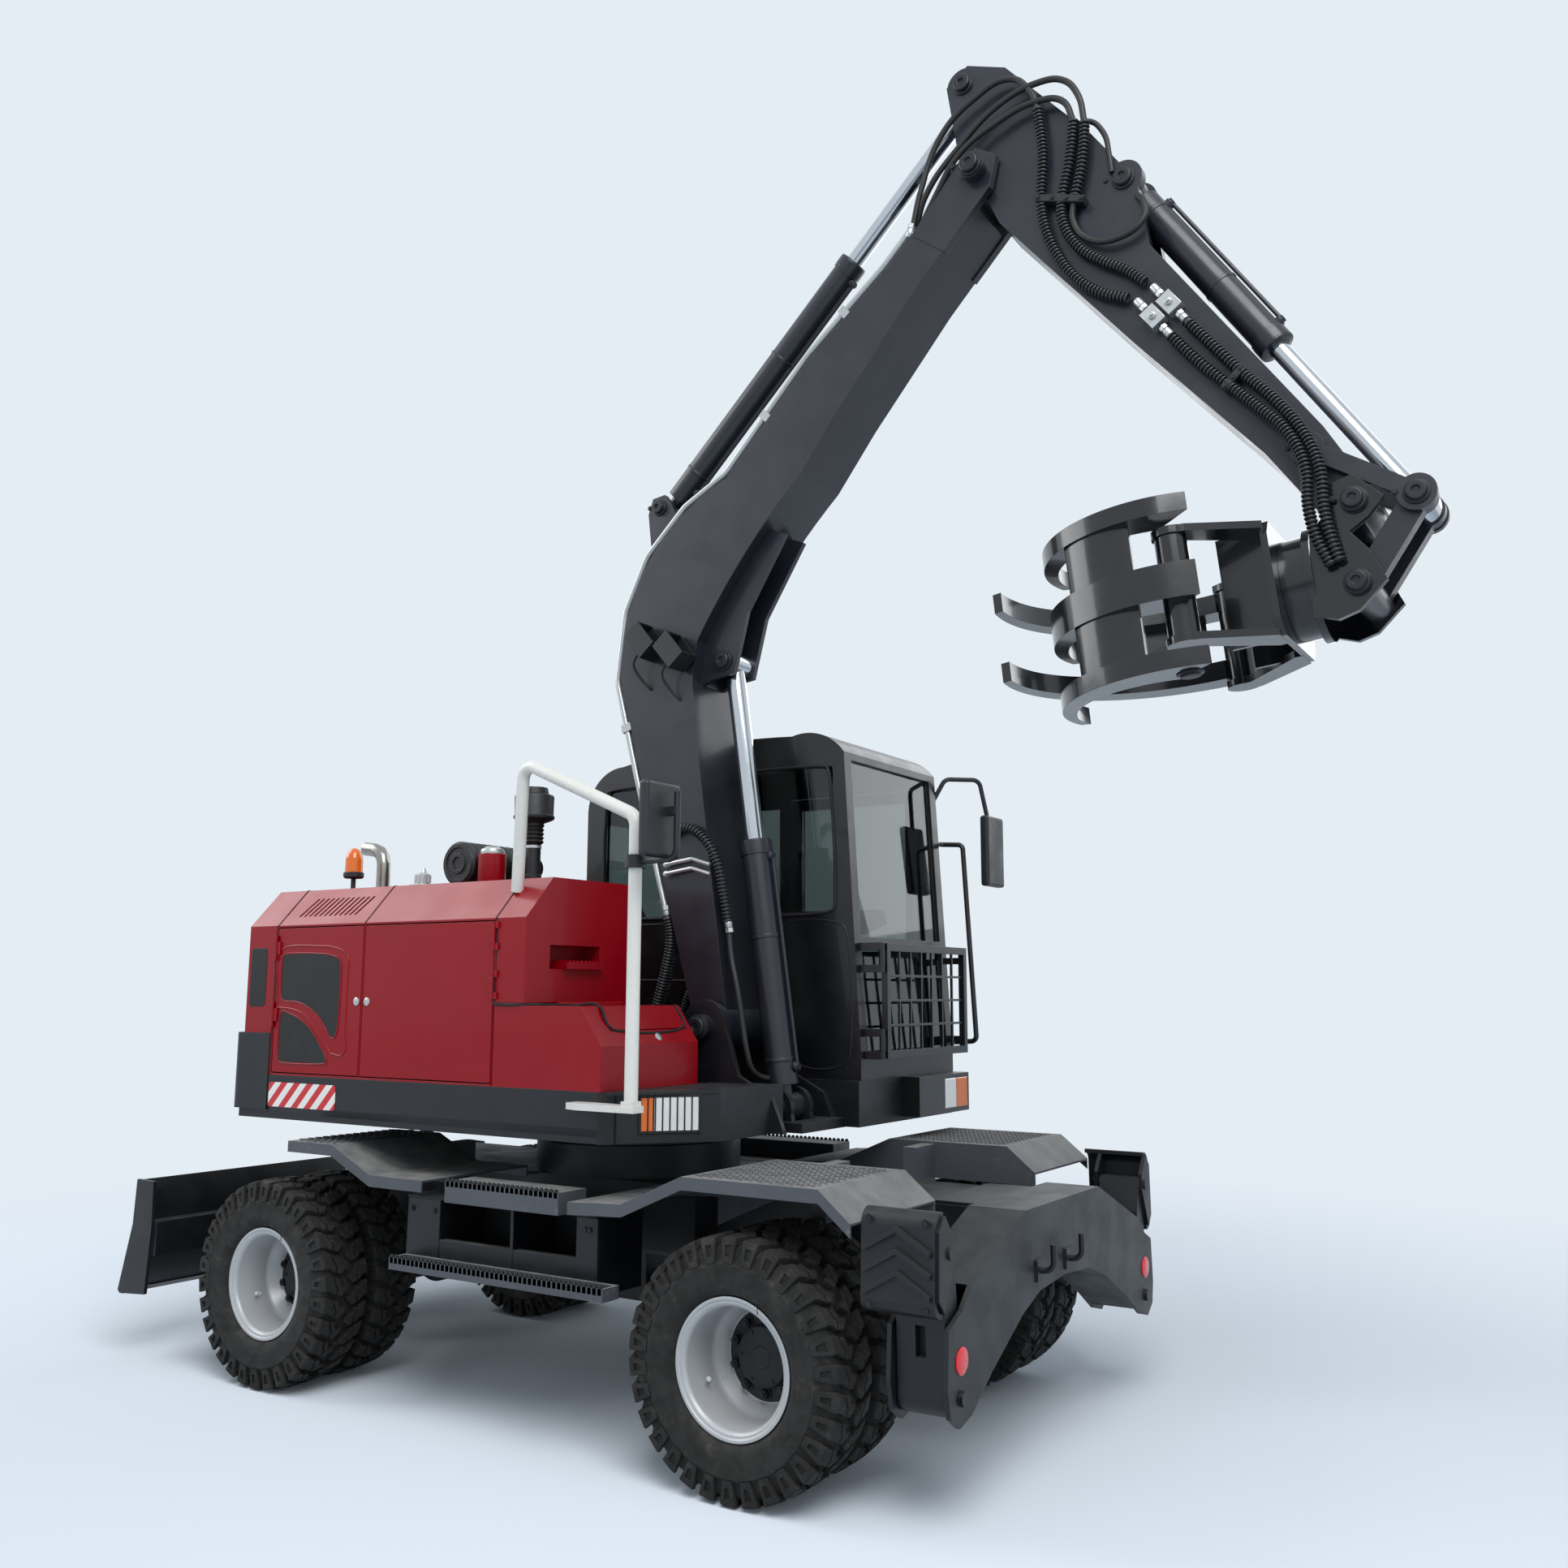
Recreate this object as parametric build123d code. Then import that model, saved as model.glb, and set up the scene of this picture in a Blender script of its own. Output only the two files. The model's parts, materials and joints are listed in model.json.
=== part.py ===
"""Wheeled excavator with a wood grapple: a nine-tonne machine on twin tyres.

Millimetres. +X points to the outrigger end, the way the cab and boom face, +Y is
the machine's left and +Z is up. The origin is on the ground under the slewing
centre, half way between the two axles.
"""
import math
import os

from build123d import *

os.makedirs("parts", exist_ok=True)

# ---------------------------------------------------------------- driving sizes
WHEELBASE = 2430.0
TYRE_R = 430.0
TYRE_W = 235.0
TWIN_MID = 790.0          # |y| of the plane where the two discs of a twin meet
TWIN_OFFSET = 135.0       # from that plane to each tyre's middle
RIM_R = 205.0
RIM_FLANGE_R = 231.0
RUNNING_GAP = 0.5         # between faces that turn on each other
SEAT_GAP = 0.3            # between pieces of one body that only touch
PIN_GAP = 0.8             # beside an eye that turns between two plates

FRAME_HALF_W = 270.0      # chassis main box
BLADE_ARM_IN, BLADE_ARM_OUT = FRAME_HALF_W - 94, FRAME_HALF_W - 24
FRAME_Z0, FRAME_Z1 = 590.0, 900.0
FRAME_X0, FRAME_X1 = -1350.0, 1770.0
TAIL_BAR_X0 = -1660.0     # rear end of the low part that carries the blade
SLEW_R = 420.0
SLEW_TOP = 1111.5
DECK_Z0 = 1112.0          # underside of the upper structure
DECK_Z1 = 1150.0
SKIRT_Z1 = 1300.0
BODY_HALF_W = 1000.0
WALL_IN_Y = BODY_HALF_W - 20          # inner faces of the skirt
TAIL_X = -1500.0
SHEET = 12.0              # body sheet with its inner skin
DOOR_T = 25.0
DOOR_GAP = 5.0

KINGPIN_Y = 470.0
AXLE_Z = TYRE_R
AXLE_FIXED_X = WHEELBASE / 2
AXLE_STEERED_X = -WHEELBASE / 2
AXLE_NOSE = 260.0         # from the axle to its nose
CASE_HALF_X = 150.0       # half length of the transfer case

# pins of the front linkage in the side view: (x, z)
BOOM_FOOT = (565.0, 1523.0)
BOOM_CYL_LOW = (835.0, 1199.0)
BOOM_CYL_TOP = (560.0, 3093.0)
BOOM_HEAD = (1830.0, 4937.0)
STICK_CYL_BASE = (187.0, 3863.0)
STICK_LUG = (1762.0, 5369.0)
TOOL_CYL_BASE = (2419.0, 4727.0)
ROCKER_PIN = (3029.0, 3504.0)
LINK_PIN = (3361.0, 3282.0)
STICK_END = (3175.0, 3277.0)
BRACKET_PIN = (3172.0, 2996.0)

BOOM_Y = -92.0            # the linkage stands beside the cab, right of the middle
BOOM_HALF_W = 155.0
FOOT_HALF_W = 185.0       # half width of the boom's foot boss
STICK_HALF_W = 112.0
FORK_IN = 124.0           # inner faces of the boom's head fork
GRAPPLE_Z = 3044.0        # the rotator's axis, along -X before its tilt
GRAPPLE_TILT = 6.0        # degrees by which the grapple's open end hangs lower
FLANGE_X = 2910.0         # face of the rotator's turning flange
JAW_PIN_X = 2635.0
JAW_PIN_Y = 374.0         # from the linkage's middle plane

OUTRIGGER_PIN = (882.0, 425.0)      # (|y|, z)
OUTRIGGER_X0, OUTRIGGER_X1 = 1776.0, 1990.0
BLADE_PIN = (-1560.0, 470.0)
BLADE_HALF_W = 1050.0


# ---------------------------------------------------------------- shape helpers
def block(x0, x1, y0, y1, z0, z1):
    """A box between two corners."""
    return Pos((x0 + x1) / 2, (y0 + y1) / 2, (z0 + z1) / 2) * Box(x1 - x0, y1 - y0, z1 - z0)


def between(p, q, r):
    """A round bar from point p to point q."""
    run = Vector(*q) - Vector(*p)
    return extrude(Plane(origin=p, z_dir=run.normalized()) * Circle(r), run.length)


def bar_x(y, z, r, x0, x1):
    return between((x0, y, z), (x1, y, z), r)


def bar_y(x, z, r, y0, y1):
    return between((x, y0, z), (x, y1, z), r)


def bar_z(x, y, r, z0, z1):
    return between((x, y, z0), (x, y, z1), r)


def side_plate(outline, y0, y1):
    """A plate in the side view: outline is (x, z) points or ready edges."""
    points = [(x, y0, z) for x, z in outline]
    return extrude(make_face(Polyline(*points, close=True)), amount=y1 - y0, dir=(0, 1, 0))


def cross_plate(outline, x0, x1):
    """A plate in the end view: outline is (y, z) points."""
    points = [(x0, y, z) for y, z in outline]
    return extrude(make_face(Polyline(*points, close=True)), amount=x1 - x0, dir=(1, 0, 0))


def flat_plate(outline, z0, z1):
    """A level plate: outline is (x, y) points."""
    points = [(x, y, z0) for x, y in outline]
    return extrude(make_face(Polyline(*points, close=True)), amount=z1 - z0, dir=(0, 0, 1))


def curved_face(path, place):
    """A face bounded by straight runs and arcs.

    path holds points, and ("arc", middle, end) for an arc from the last point;
    place turns a 2-D point into 3-D.
    """
    edges = []
    first = path[0]
    last = first
    for step in path[1:]:
        if step[0] == "arc":
            edges.append(ThreePointArc(place(last), place(step[1]), place(step[2])))
            last = step[2]
        else:
            edges.append(Line(place(last), place(step)))
            last = step
    edges.append(Line(place(last), place(first)))
    return make_face(edges)


def curved_side(path, y0, y1):
    return extrude(curved_face(path, lambda p: (p[0], y0, p[1])), amount=y1 - y0, dir=(0, 1, 0))


def curved_flat(path, z0, z1):
    return extrude(curved_face(path, lambda p: (p[0], p[1], z0)), amount=z1 - z0, dir=(0, 0, 1))


def curved_cross(path, x0, x1):
    return extrude(curved_face(path, lambda p: (x0, p[0], p[1])), amount=x1 - x0, dir=(1, 0, 0))


def spun_y(profile, x, z):
    """A turned piece about an axle along Y: profile is (radius, y) points."""
    points = [(x + r, y, z) for r, y in profile]
    face = make_face(Polyline(*points, close=True))
    return revolve(face, Axis((x, 0, z), (0, 1, 0)), 360)


def pipe(points, r, bend):
    """A round pipe: straight runs joined by bends that touch them."""
    path = FilletPolyline(*points, radius=bend)
    return sweep(Plane(origin=path @ 0, z_dir=path % 0) * Circle(r), path=path)


def rounded(solid, r):
    return fillet(solid.edges(), r)


def fused(pieces):
    whole = pieces[0]
    for piece in pieces[1:]:
        whole = whole + piece
    return whole


def save(node, *solids):
    shape = solids[0] if len(solids) == 1 else Compound(children=list(solids))
    export_step(shape, f"parts/{node}.step")


# ---------------------------------------------------------------- wheels
# outer face of a tyre from bead to bead: (radius, offset from its middle)
TYRE_PROFILE = [
    (RIM_R + 0.5, -76), (RIM_FLANGE_R + 1.5, -86), (RIM_FLANGE_R + 9, -100), (334, -TYRE_W / 2), (392, -112),
    (TYRE_R, -86), (TYRE_R, 86),
    (392, 112), (334, TYRE_W / 2), (RIM_FLANGE_R + 9, 100), (RIM_FLANGE_R + 1.5, 86), (RIM_R + 0.5, 76),
]
# one rim, from the disc that faces the twin's middle plane out to its lip
RIM_PROFILE = [
    (150, 0), (160, 0), (194, 40), (RIM_FLANGE_R, 40), (RIM_FLANGE_R, 48), (RIM_R, 58),
    (RIM_R, 212), (RIM_FLANGE_R, 222), (RIM_FLANGE_R, 230), (222, 230), (196, 214),
    (196, 62), (186, 54), (156, 12), (150, 12),
]
HUB_R = 150.0
DRUM_R = 140.0
DRUM_Y0 = 600.0
HUB_COVER_Y = 842.0
NUT_RING_R = 122.0
NUT_COUNT = 10


def wheel_tyres(x, side):
    tyres = []
    for middle in (TWIN_MID - TWIN_OFFSET, TWIN_MID + TWIN_OFFSET):
        tyres.append(spun_y([(r, side * (middle + y)) for r, y in TYRE_PROFILE], x, AXLE_Z))
    return tyres


def wheel_rims(x, side):
    outer = spun_y([(r, side * (TWIN_MID + y)) for r, y in RIM_PROFILE], x, AXLE_Z)
    inner = spun_y([(r, side * (TWIN_MID - y)) for r, y in RIM_PROFILE], x, AXLE_Z)
    hub_profile = [
        (0, DRUM_Y0), (DRUM_R, DRUM_Y0), (DRUM_R, 745), (HUB_R + 1, 776),
        (HUB_R + 1, 804), (100, 806), (96, HUB_COVER_Y - 12), (80, HUB_COVER_Y), (0, HUB_COVER_Y),
    ]
    hub = spun_y([(r, side * y) for r, y in hub_profile], x, AXLE_Z)
    nuts = []
    for k in range(NUT_COUNT):
        turn = math.radians(360 / NUT_COUNT * k)
        nut_x = x + NUT_RING_R * math.cos(turn)
        nut_z = AXLE_Z + NUT_RING_R * math.sin(turn)
        y0, y1 = sorted((side * 800, side * 826))
        nuts.append(bar_y(nut_x, nut_z, 15, y0, y1))
    return fused([outer, inner, hub] + nuts)


for end, axle_x in (("steered", AXLE_STEERED_X), ("fixed", AXLE_FIXED_X)):
    for name, side in (("left", 1), ("right", -1)):
        save(f"tyres_{end}_{name}", *wheel_tyres(axle_x, side))
        save(f"rims_{end}_{name}", wheel_rims(axle_x, side))

# ---------------------------------------------------------------- axles and steering
AXLE_TUBE_R = 68.0
DIFF_R = 150.0
YOKE_X = 50.0
YOKE_Z = 96.0             # inner faces of the yoke arms, above and below the axle's middle
YOKE_ARM_T = 26.0
WEB_X = 38.0              # half depth of the web that carries the yoke
WEB_OUT = 80.0            # from its outer face to the king pin
KNUCKLE_GAP = 0.8


def axle_body(x, tube_end):
    tube = bar_y(x, AXLE_Z, AXLE_TUBE_R, -tube_end, tube_end)
    diff = spun_y([(0, -120), (90, -120), (DIFF_R, -45), (DIFF_R, 45), (90, 120), (0, 120)], x, AXLE_Z)
    nose_dir = 1 if x < 0 else -1
    nose_x0, nose_x1 = sorted((x, x + nose_dir * AXLE_NOSE))
    nose = bar_x(0, AXLE_Z + 10, 70, nose_x0, nose_x1)
    pieces = [tube, diff, nose]
    for y0, y1 in ((-230, -150), (150, 230)):
        pieces.append(block(x - 60, x + 60, y0, y1, AXLE_Z + 40, FRAME_Z0 - SEAT_GAP))
    return pieces


fixed_axle = axle_body(AXLE_FIXED_X, DRUM_Y0 - RUNNING_GAP)
for side in (1, -1):
    y0, y1 = sorted((side * (DRUM_Y0 - 40), side * (DRUM_Y0 - RUNNING_GAP)))
    fixed_axle.append(bar_y(AXLE_FIXED_X, AXLE_Z, 120, y0, y1))
save("axle_fixed", fused(fixed_axle))

steered_axle = axle_body(AXLE_STEERED_X, KINGPIN_Y - WEB_OUT - 5)
for side in (1, -1):
    y0, y1 = sorted((side * (KINGPIN_Y - 115), side * (KINGPIN_Y - WEB_OUT)))
    root_z = YOKE_Z + YOKE_ARM_T
    steered_axle.append(block(AXLE_STEERED_X - WEB_X, AXLE_STEERED_X + WEB_X, y0, y1,
                              AXLE_Z - root_z, AXLE_Z + root_z))
    for z0, z1 in ((YOKE_Z, root_z), (-root_z, -YOKE_Z)):
        a0, a1 = sorted((side * (KINGPIN_Y - WEB_OUT - 2), side * KINGPIN_Y))
        steered_axle.append(block(AXLE_STEERED_X - YOKE_X, AXLE_STEERED_X + YOKE_X, a0, a1,
                                  AXLE_Z + z0, AXLE_Z + z1))
        steered_axle.append(bar_z(AXLE_STEERED_X, side * KINGPIN_Y, YOKE_X, AXLE_Z + z0, AXLE_Z + z1))
# steering cylinder on the axle's inner side, its rods reaching to the arms
STEER_X = AXLE_STEERED_X + 150
steered_axle.append(bar_y(STEER_X, AXLE_Z - 60, 36, -210, 210))
steered_axle.append(bar_y(STEER_X, AXLE_Z - 60, 16, -330, 330))
for y0, y1 in ((-200, -170), (170, 200)):
    steered_axle.append(block(AXLE_STEERED_X, STEER_X, y0, y1, AXLE_Z - 90, AXLE_Z - 30))
save("axle_steered", fused(steered_axle))

for name, side in (("left", 1), ("right", -1)):
    pin_y = side * KINGPIN_Y
    core = bar_z(AXLE_STEERED_X, pin_y, 46, AXLE_Z - YOKE_Z + KNUCKLE_GAP, AXLE_Z + YOKE_Z - KNUCKLE_GAP)
    y0, y1 = sorted((pin_y, side * (DRUM_Y0 - 30)))
    spindle = bar_y(AXLE_STEERED_X, AXLE_Z, 60, y0, y1)
    f0, f1 = sorted((side * (DRUM_Y0 - 32), side * (DRUM_Y0 - RUNNING_GAP)))
    flange = bar_y(AXLE_STEERED_X, AXLE_Z, 120, f0, f1)
    arm = between((AXLE_STEERED_X, pin_y, AXLE_Z - 60), (STEER_X - 8, side * 430, AXLE_Z - 60), 20)
    ball = bar_z(STEER_X - 8, side * 425, 26, AXLE_Z - 90, AXLE_Z - 30)
    save(f"knuckle_{name}", fused([core, spindle, flange, arm, ball]))

# ---------------------------------------------------------------- chassis frame
frame = block(FRAME_X0, FRAME_X1, -FRAME_HALF_W, FRAME_HALF_W, FRAME_Z0, FRAME_Z1)
frame = frame + block(TAIL_BAR_X0, FRAME_X0 + 1, -FRAME_HALF_W, FRAME_HALF_W, FRAME_Z0, 660)
frame = frame + block(-620, 620, -420, 420, 640, FRAME_Z1)
ring_seat = bar_z(0, 0, SLEW_R + 30, FRAME_Z1 - 1, 1030)
ring = bar_z(0, 0, SLEW_R, 1020, SLEW_TOP - 40)
race = bar_z(0, 0, SLEW_R - 30, SLEW_TOP - 50, SLEW_TOP)
frame = frame + ring_seat + ring + race
# transfer case under the middle, with shafts to both axles
frame = frame + block(-CASE_HALF_X, CASE_HALF_X, -130, 130, 360, FRAME_Z0 + 10)
SHAFT_REACH = AXLE_FIXED_X - AXLE_NOSE - 2
for x0, x1 in ((-SHAFT_REACH, -CASE_HALF_X + 10), (CASE_HALF_X - 10, SHAFT_REACH)):
    frame = frame + bar_x(0, AXLE_Z + 10, 32, x0, x1)
# blade hinge ears, two for each arm
for side in (1, -1):
    for y0, y1 in ((BLADE_ARM_IN - 26, BLADE_ARM_IN - 4), (BLADE_ARM_OUT + 4, BLADE_ARM_OUT + 26)):
        a, b = sorted((side * y0, side * y1))
        ear = side_plate([(TAIL_BAR_X0, 620), (TAIL_BAR_X0 + 260, 620), (-1500, 420), (-1620, 420)], a, b)
        frame = frame + ear
# foot of the blade cylinder, two ears on the main box's rear end
BLADE_CYL_BASE = (-1412.0, 930.0)
BLADE_CYL_EYE = (-2000.0, 700.0)
BLADE_EYE_W = 84.0
for side in (1, -1):
    a, b = sorted((side * (BLADE_EYE_W / 2 + PIN_GAP), side * (BLADE_EYE_W / 2 + 24)))
    root = side_plate([(FRAME_X0 + 1, 760), (FRAME_X0 + 1, FRAME_Z1), (BLADE_CYL_BASE[0] + 20, 968),
                       (BLADE_CYL_BASE[0] - 20, 895)], a, b)
    frame = frame + root + bar_y(*BLADE_CYL_BASE, 52, a, b)
save("chassis_frame", frame)

# ---------------------------------------------------------------- side boxes and steps
BOX_X0, BOX_X1 = -390.0, 600.0
BOX_Y0, BOX_Y1 = 420.0 + SEAT_GAP, 985.0
BOX_Z0, BOX_Z1 = 575.0, 860.0
TRAY_DEPTH = 330.0
# bays that are open to the side, between the box's walls: (x0, x1)
BAYS = [(-350.0, -120.0), (-105.0, 130.0)]
boxes = []
for side in (1, -1):
    y0, y1 = sorted((side * BOX_Y0, side * BOX_Y1))
    shell = block(BOX_X0, BOX_X1, y0, y1, BOX_Z0, BOX_Z1)
    for x0, x1 in BAYS:
        bay_y0, bay_y1 = sorted((side * (BOX_Y1 - TRAY_DEPTH), side * (BOX_Y1 + 1)))
        shell = shell - block(x0, x1, bay_y0, bay_y1, BOX_Z0 + 20, BOX_Z1 - 20)
        lip_y0, lip_y1 = sorted((side * (BOX_Y1 - 14), side * BOX_Y1))
        shell = shell + block(x0 - 1, x1 + 1, lip_y0, lip_y1, BOX_Z0 + 10, BOX_Z0 + 95)
    boxes.append(shell)
save("side_boxes", *boxes)

steps = []
for side in (1, -1):
    s0, s1 = sorted((side * (BOX_Y1 + SEAT_GAP), side * 1075))
    tread = block(-382, 705, s0, s1, 588, 634)
    well0, well1 = sorted((side * (BOX_Y1 + 16), side * 1063))
    steps.append(tread - block(-370, 693, well0, well1, 600, 640))
    u0, u1 = sorted((side * 900, side * 1055))
    steps.append(block(-110, 470, u0, u1, BOX_Z1 + SEAT_GAP, 940))
save("steps", *steps)

# ---------------------------------------------------------------- fenders
FENDER_T = 8.0
FENDER_LIP = 45.0
INNER_DEPTHS = [150.0, FENDER_LIP]      # the wheels under the rear pair steer past its inner plates
# top line of each fender: (x, z)
FENDER_LINES = [
    [(510, 912), (758, 924), (1020, 1037), (1570, 1037), (1690, 940)],
    [(-246, 930), (-546, 930), (-785, 1035), (-1060, 1035)],
]
fenders = []
for line, depth in zip(FENDER_LINES, INNER_DEPTHS):
    under = [(x, z - FENDER_T) for x, z in reversed(line)]
    lip_under = [(x, z - FENDER_LIP) for x, z in reversed(line)]
    for side in (1, -1):
        y0, y1 = sorted((side * 450, side * 1050))
        top = side_plate(line + under, y0, y1)
        l0, l1 = sorted((side * (1050 - FENDER_T), side * 1050))
        lip = side_plate(line + lip_under, l0, l1)
        i0, i1 = sorted((side * 450, side * (450 + FENDER_T)))
        deep_under = [(x, z - depth) for x, z in reversed(line[1:])]
        inner = side_plate(line + lip_under, i0, i1) + side_plate(line[1:] + deep_under, i0, i1)
        fenders.append(top + lip + inner)
# brackets that carry the four plates from the chassis: (x0, x1, top)
BRACKETS = [(1180, 1240, 1028), (-800, -740, 990)]
for x0, x1, top in BRACKETS:
    for side in (1, -1):
        b0, b1 = sorted((side * (FRAME_HALF_W + SEAT_GAP), side * (450 - SEAT_GAP)))
        arm = block(x0, x1, b0, b1, 820, top)
        fenders.append(arm)
save("fenders", *fenders)

# ---------------------------------------------------------------- outrigger housing
HOUSING_T = 16.0
# half outline of the arch plate: (|y|, z), from the roof's middle to the crown of the arch
ARCH_HALF = [
    (0, 920), (360, 920), (800, 747), (870, 682), (968, 639), (980, 465), (962, 380),
    (900, 340), (810, 362), (654, 456), (400, 583), (243, 635), (0, 652),
]
arch_outline = ARCH_HALF + [(-y, z) for y, z in reversed(ARCH_HALF[1:-1])]
front_plate = cross_plate(arch_outline, OUTRIGGER_X1 - HOUSING_T, OUTRIGGER_X1)
rear_plate = cross_plate(arch_outline, OUTRIGGER_X0, OUTRIGGER_X0 + HOUSING_T)
roof_half = [(0, 920), (360, 920), (800, 747), (794, 735), (357, 908), (0, 908)]
roof_outline = roof_half + [(-y, z) for y, z in reversed(roof_half[1:-1])]
roof = cross_plate(roof_outline, OUTRIGGER_X0, OUTRIGGER_X1)
belly_half = [(0, 664), (246, 647), (404, 595), (660, 468), (760, 408), (754, 396), (654, 456),
              (400, 583), (243, 635), (0, 652)]
belly_outline = belly_half + [(-y, z) for y, z in reversed(belly_half[1:-1])]
belly = cross_plate(belly_outline, OUTRIGGER_X0, OUTRIGGER_X1)
housing = front_plate + rear_plate + roof + belly
for y0, y1 in ((-112, -96), (96, 112)):
    housing = housing + block(OUTRIGGER_X0, OUTRIGGER_X1, y0, y1, 645, 915)
# pin ends and washers
for side in (1, -1):
    housing = housing + bar_x(side * OUTRIGGER_PIN[0], OUTRIGGER_PIN[1], 24, OUTRIGGER_X1 - 5, OUTRIGGER_X1 + 12)
# two tow hooks on the front face
for y in (-250, 20):
    housing = housing + block(OUTRIGGER_X1 - 2, OUTRIGGER_X1 + 8, y - 30, y + 30, 668, 742)
    hook = [(OUTRIGGER_X1, y, 705), (OUTRIGGER_X1 + 56, y, 705), (OUTRIGGER_X1 + 56, y, 796)]
    housing = housing + pipe(hook, 11, 32)
DECK_HALF_W = FRAME_HALF_W - 8
housing = housing + block(FRAME_X1 - 200, OUTRIGGER_X0 + 2, -DECK_HALF_W, DECK_HALF_W, FRAME_Z1 + SEAT_GAP, 912)
save("outrigger_housing", housing)

# ---------------------------------------------------------------- outriggers
LEG_X0 = OUTRIGGER_X0 + HOUSING_T + 6
LEG_X1 = OUTRIGGER_X1 - HOUSING_T - 6
PAD_X0, PAD_X1 = 1712.0, 1972.0
PAD_T = 16.0


def outrigger(side):
    pin_y, pin_z = OUTRIGGER_PIN
    leg_path = [
        (pin_y - 62, pin_z + 4), ("arc", (pin_y, pin_z - 62), (pin_y + 62, pin_z + 4)),
        (952, 700), (962, 890), (905, 890), (870, 760),
    ]
    leg_points = [(side * p[0], p[1]) if p[0] != "arc"
                  else ("arc", (side * p[1][0], p[1][1]), (side * p[2][0], p[2][1])) for p in leg_path]
    leg = curved_cross(leg_points, LEG_X0, LEG_X1)
    leg = leg + bar_x(side * pin_y, pin_z, 48, OUTRIGGER_X0 + HOUSING_T + PIN_GAP, OUTRIGGER_X1 - HOUSING_T - PIN_GAP)
    mid_x = (LEG_X0 + LEG_X1) / 2
    slot_y0, slot_y1 = sorted((side * 915, side * 980))
    slot = block(mid_x - 18, mid_x + 18, slot_y0, slot_y1, 545, 640)
    leg = leg - slot
    pad_path = [
        (960, 990), ("arc", (1002, 978), (1018, 938)), (1024, 730), ("arc", (1016, 692), (975, 672)),
        (975, 688), ("arc", (1001, 702), (1008, 730)), (1002, 935), ("arc", (992, 964), (960, 974)),
    ]
    pad_points = [(side * p[0], p[1]) if p[0] != "arc"
                  else ("arc", (side * p[1][0], p[1][1]), (side * p[2][0], p[2][1])) for p in pad_path]
    pad = curved_cross(pad_points, PAD_X0, PAD_X1)
    gusset = [(side * y, z) for y, z in [(905, 905), (905, 840), (975, 690), (1012, 730), (1006, 935), (965, 980)]]
    ears = cross_plate(gusset, LEG_X0 - 26, LEG_X0 - 10) + cross_plate(gusset, LEG_X1 - 2, LEG_X1 + 14)
    pin = bar_x(side * 935, 862, 20, LEG_X0 - 34, LEG_X1 + 22)
    ribs = []
    pad_mid = (PAD_X0 + PAD_X1) / 2
    for z in (730, 795, 860):
        r0, r1 = sorted((side * 1006, side * 1036))
        chevron = [(PAD_X0 + 12, z), (pad_mid, z + 66), (PAD_X1 - 12, z), (PAD_X1 - 12, z + 16),
                   (pad_mid, z + 84), (PAD_X0 + 12, z + 16)]
        ribs.append(side_plate(chevron, r0, r1))
    return fused([leg, pad, ears, pin] + ribs)


for name, side in (("left", 1), ("right", -1)):
    save(f"outrigger_{name}", outrigger(side))

# ---------------------------------------------------------------- dozer blade
board = curved_side([(-2105, 797), ("arc", (-2062, 560), (-2150, 318)), (-2135, 310),
                     ("arc", (-2048, 560), (-2090, 800))], -1036, 1036)
edge = side_plate([(-2150, 330), (-2206, 292), (-2196, 280), (-2126, 312)], -1036, 1036)
blade = board + edge + block(-2062, -1965, -1036, 1036, 470, 620)
end_outline = [(-2118, 800), (-1992, 797), (-1985, 600), (-2009, 300), (-2196, 286), (-2212, 300), (-2130, 600)]
for y0, y1 in ((-BLADE_HALF_W, -1034), (1034, BLADE_HALF_W)):
    blade = blade + side_plate(end_outline, y0, y1)
arm_outline = [(-1990, 610), (-1990, 480), (-1620, 430), (-1560, 412), (-1512, 438), (-1502, 470),
               (-1518, 512), (-1560, 528), (-1640, 545)]
for y0, y1 in ((-BLADE_ARM_OUT, -BLADE_ARM_IN), (BLADE_ARM_IN, BLADE_ARM_OUT)):
    blade = blade + side_plate(arm_outline, y0, y1) + bar_y(*BLADE_PIN, 50, y0 - 3.2, y1 + 3.2)
for side in (1, -1):
    a, b = sorted((side * (BLADE_EYE_W / 2 + PIN_GAP), side * (BLADE_EYE_W / 2 + 22)))
    blade = blade + side_plate([(-2070, 590), (-1990, 600), (-1955, 690), (-2000, 745), (-2045, 720)], a, b)
save("dozer_blade", blade)


BORE_START = 108.0        # from a cylinder's low pin to the end of its bore


def cylinder_pair(p, q, eye_r, eye_w, barrel_r, rod_r, barrel_end, stroke_in):
    """A cylinder from pin p to pin q, both (x, z): its barrel and its rod.

    barrel_end is the gland's distance from p, and stroke_in how far the rod still runs in.
    """
    run = Vector(q[0] - p[0], 0, q[1] - p[1])
    length = run.length
    unit = run.normalized()

    def at(distance):
        return (p[0] + unit.X * distance, 0, p[1] + unit.Z * distance)

    barrel = bar_y(p[0], p[1], eye_r, -eye_w / 2, eye_w / 2)
    barrel = barrel + between(at(0), at(eye_r * 1.6), eye_r * 0.62)
    barrel = barrel + between(at(eye_r * 1.5), at(barrel_end - 60), barrel_r)
    barrel = barrel + between(at(barrel_end - 62), at(barrel_end), barrel_r * 1.08)
    barrel = barrel - between(at(BORE_START), at(barrel_end + 5), rod_r + RUNNING_GAP)
    rod = between(at(BORE_START + stroke_in + 8), at(length), rod_r)
    rod = rod + bar_y(q[0], q[1], eye_r, -eye_w / 2, eye_w / 2)
    return barrel, rod


barrel, rod = cylinder_pair(BLADE_CYL_BASE, BLADE_CYL_EYE, 40, BLADE_EYE_W, 44, 24, 460, 20)
save("blade_barrel", barrel)
save("blade_rod", rod)

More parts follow.
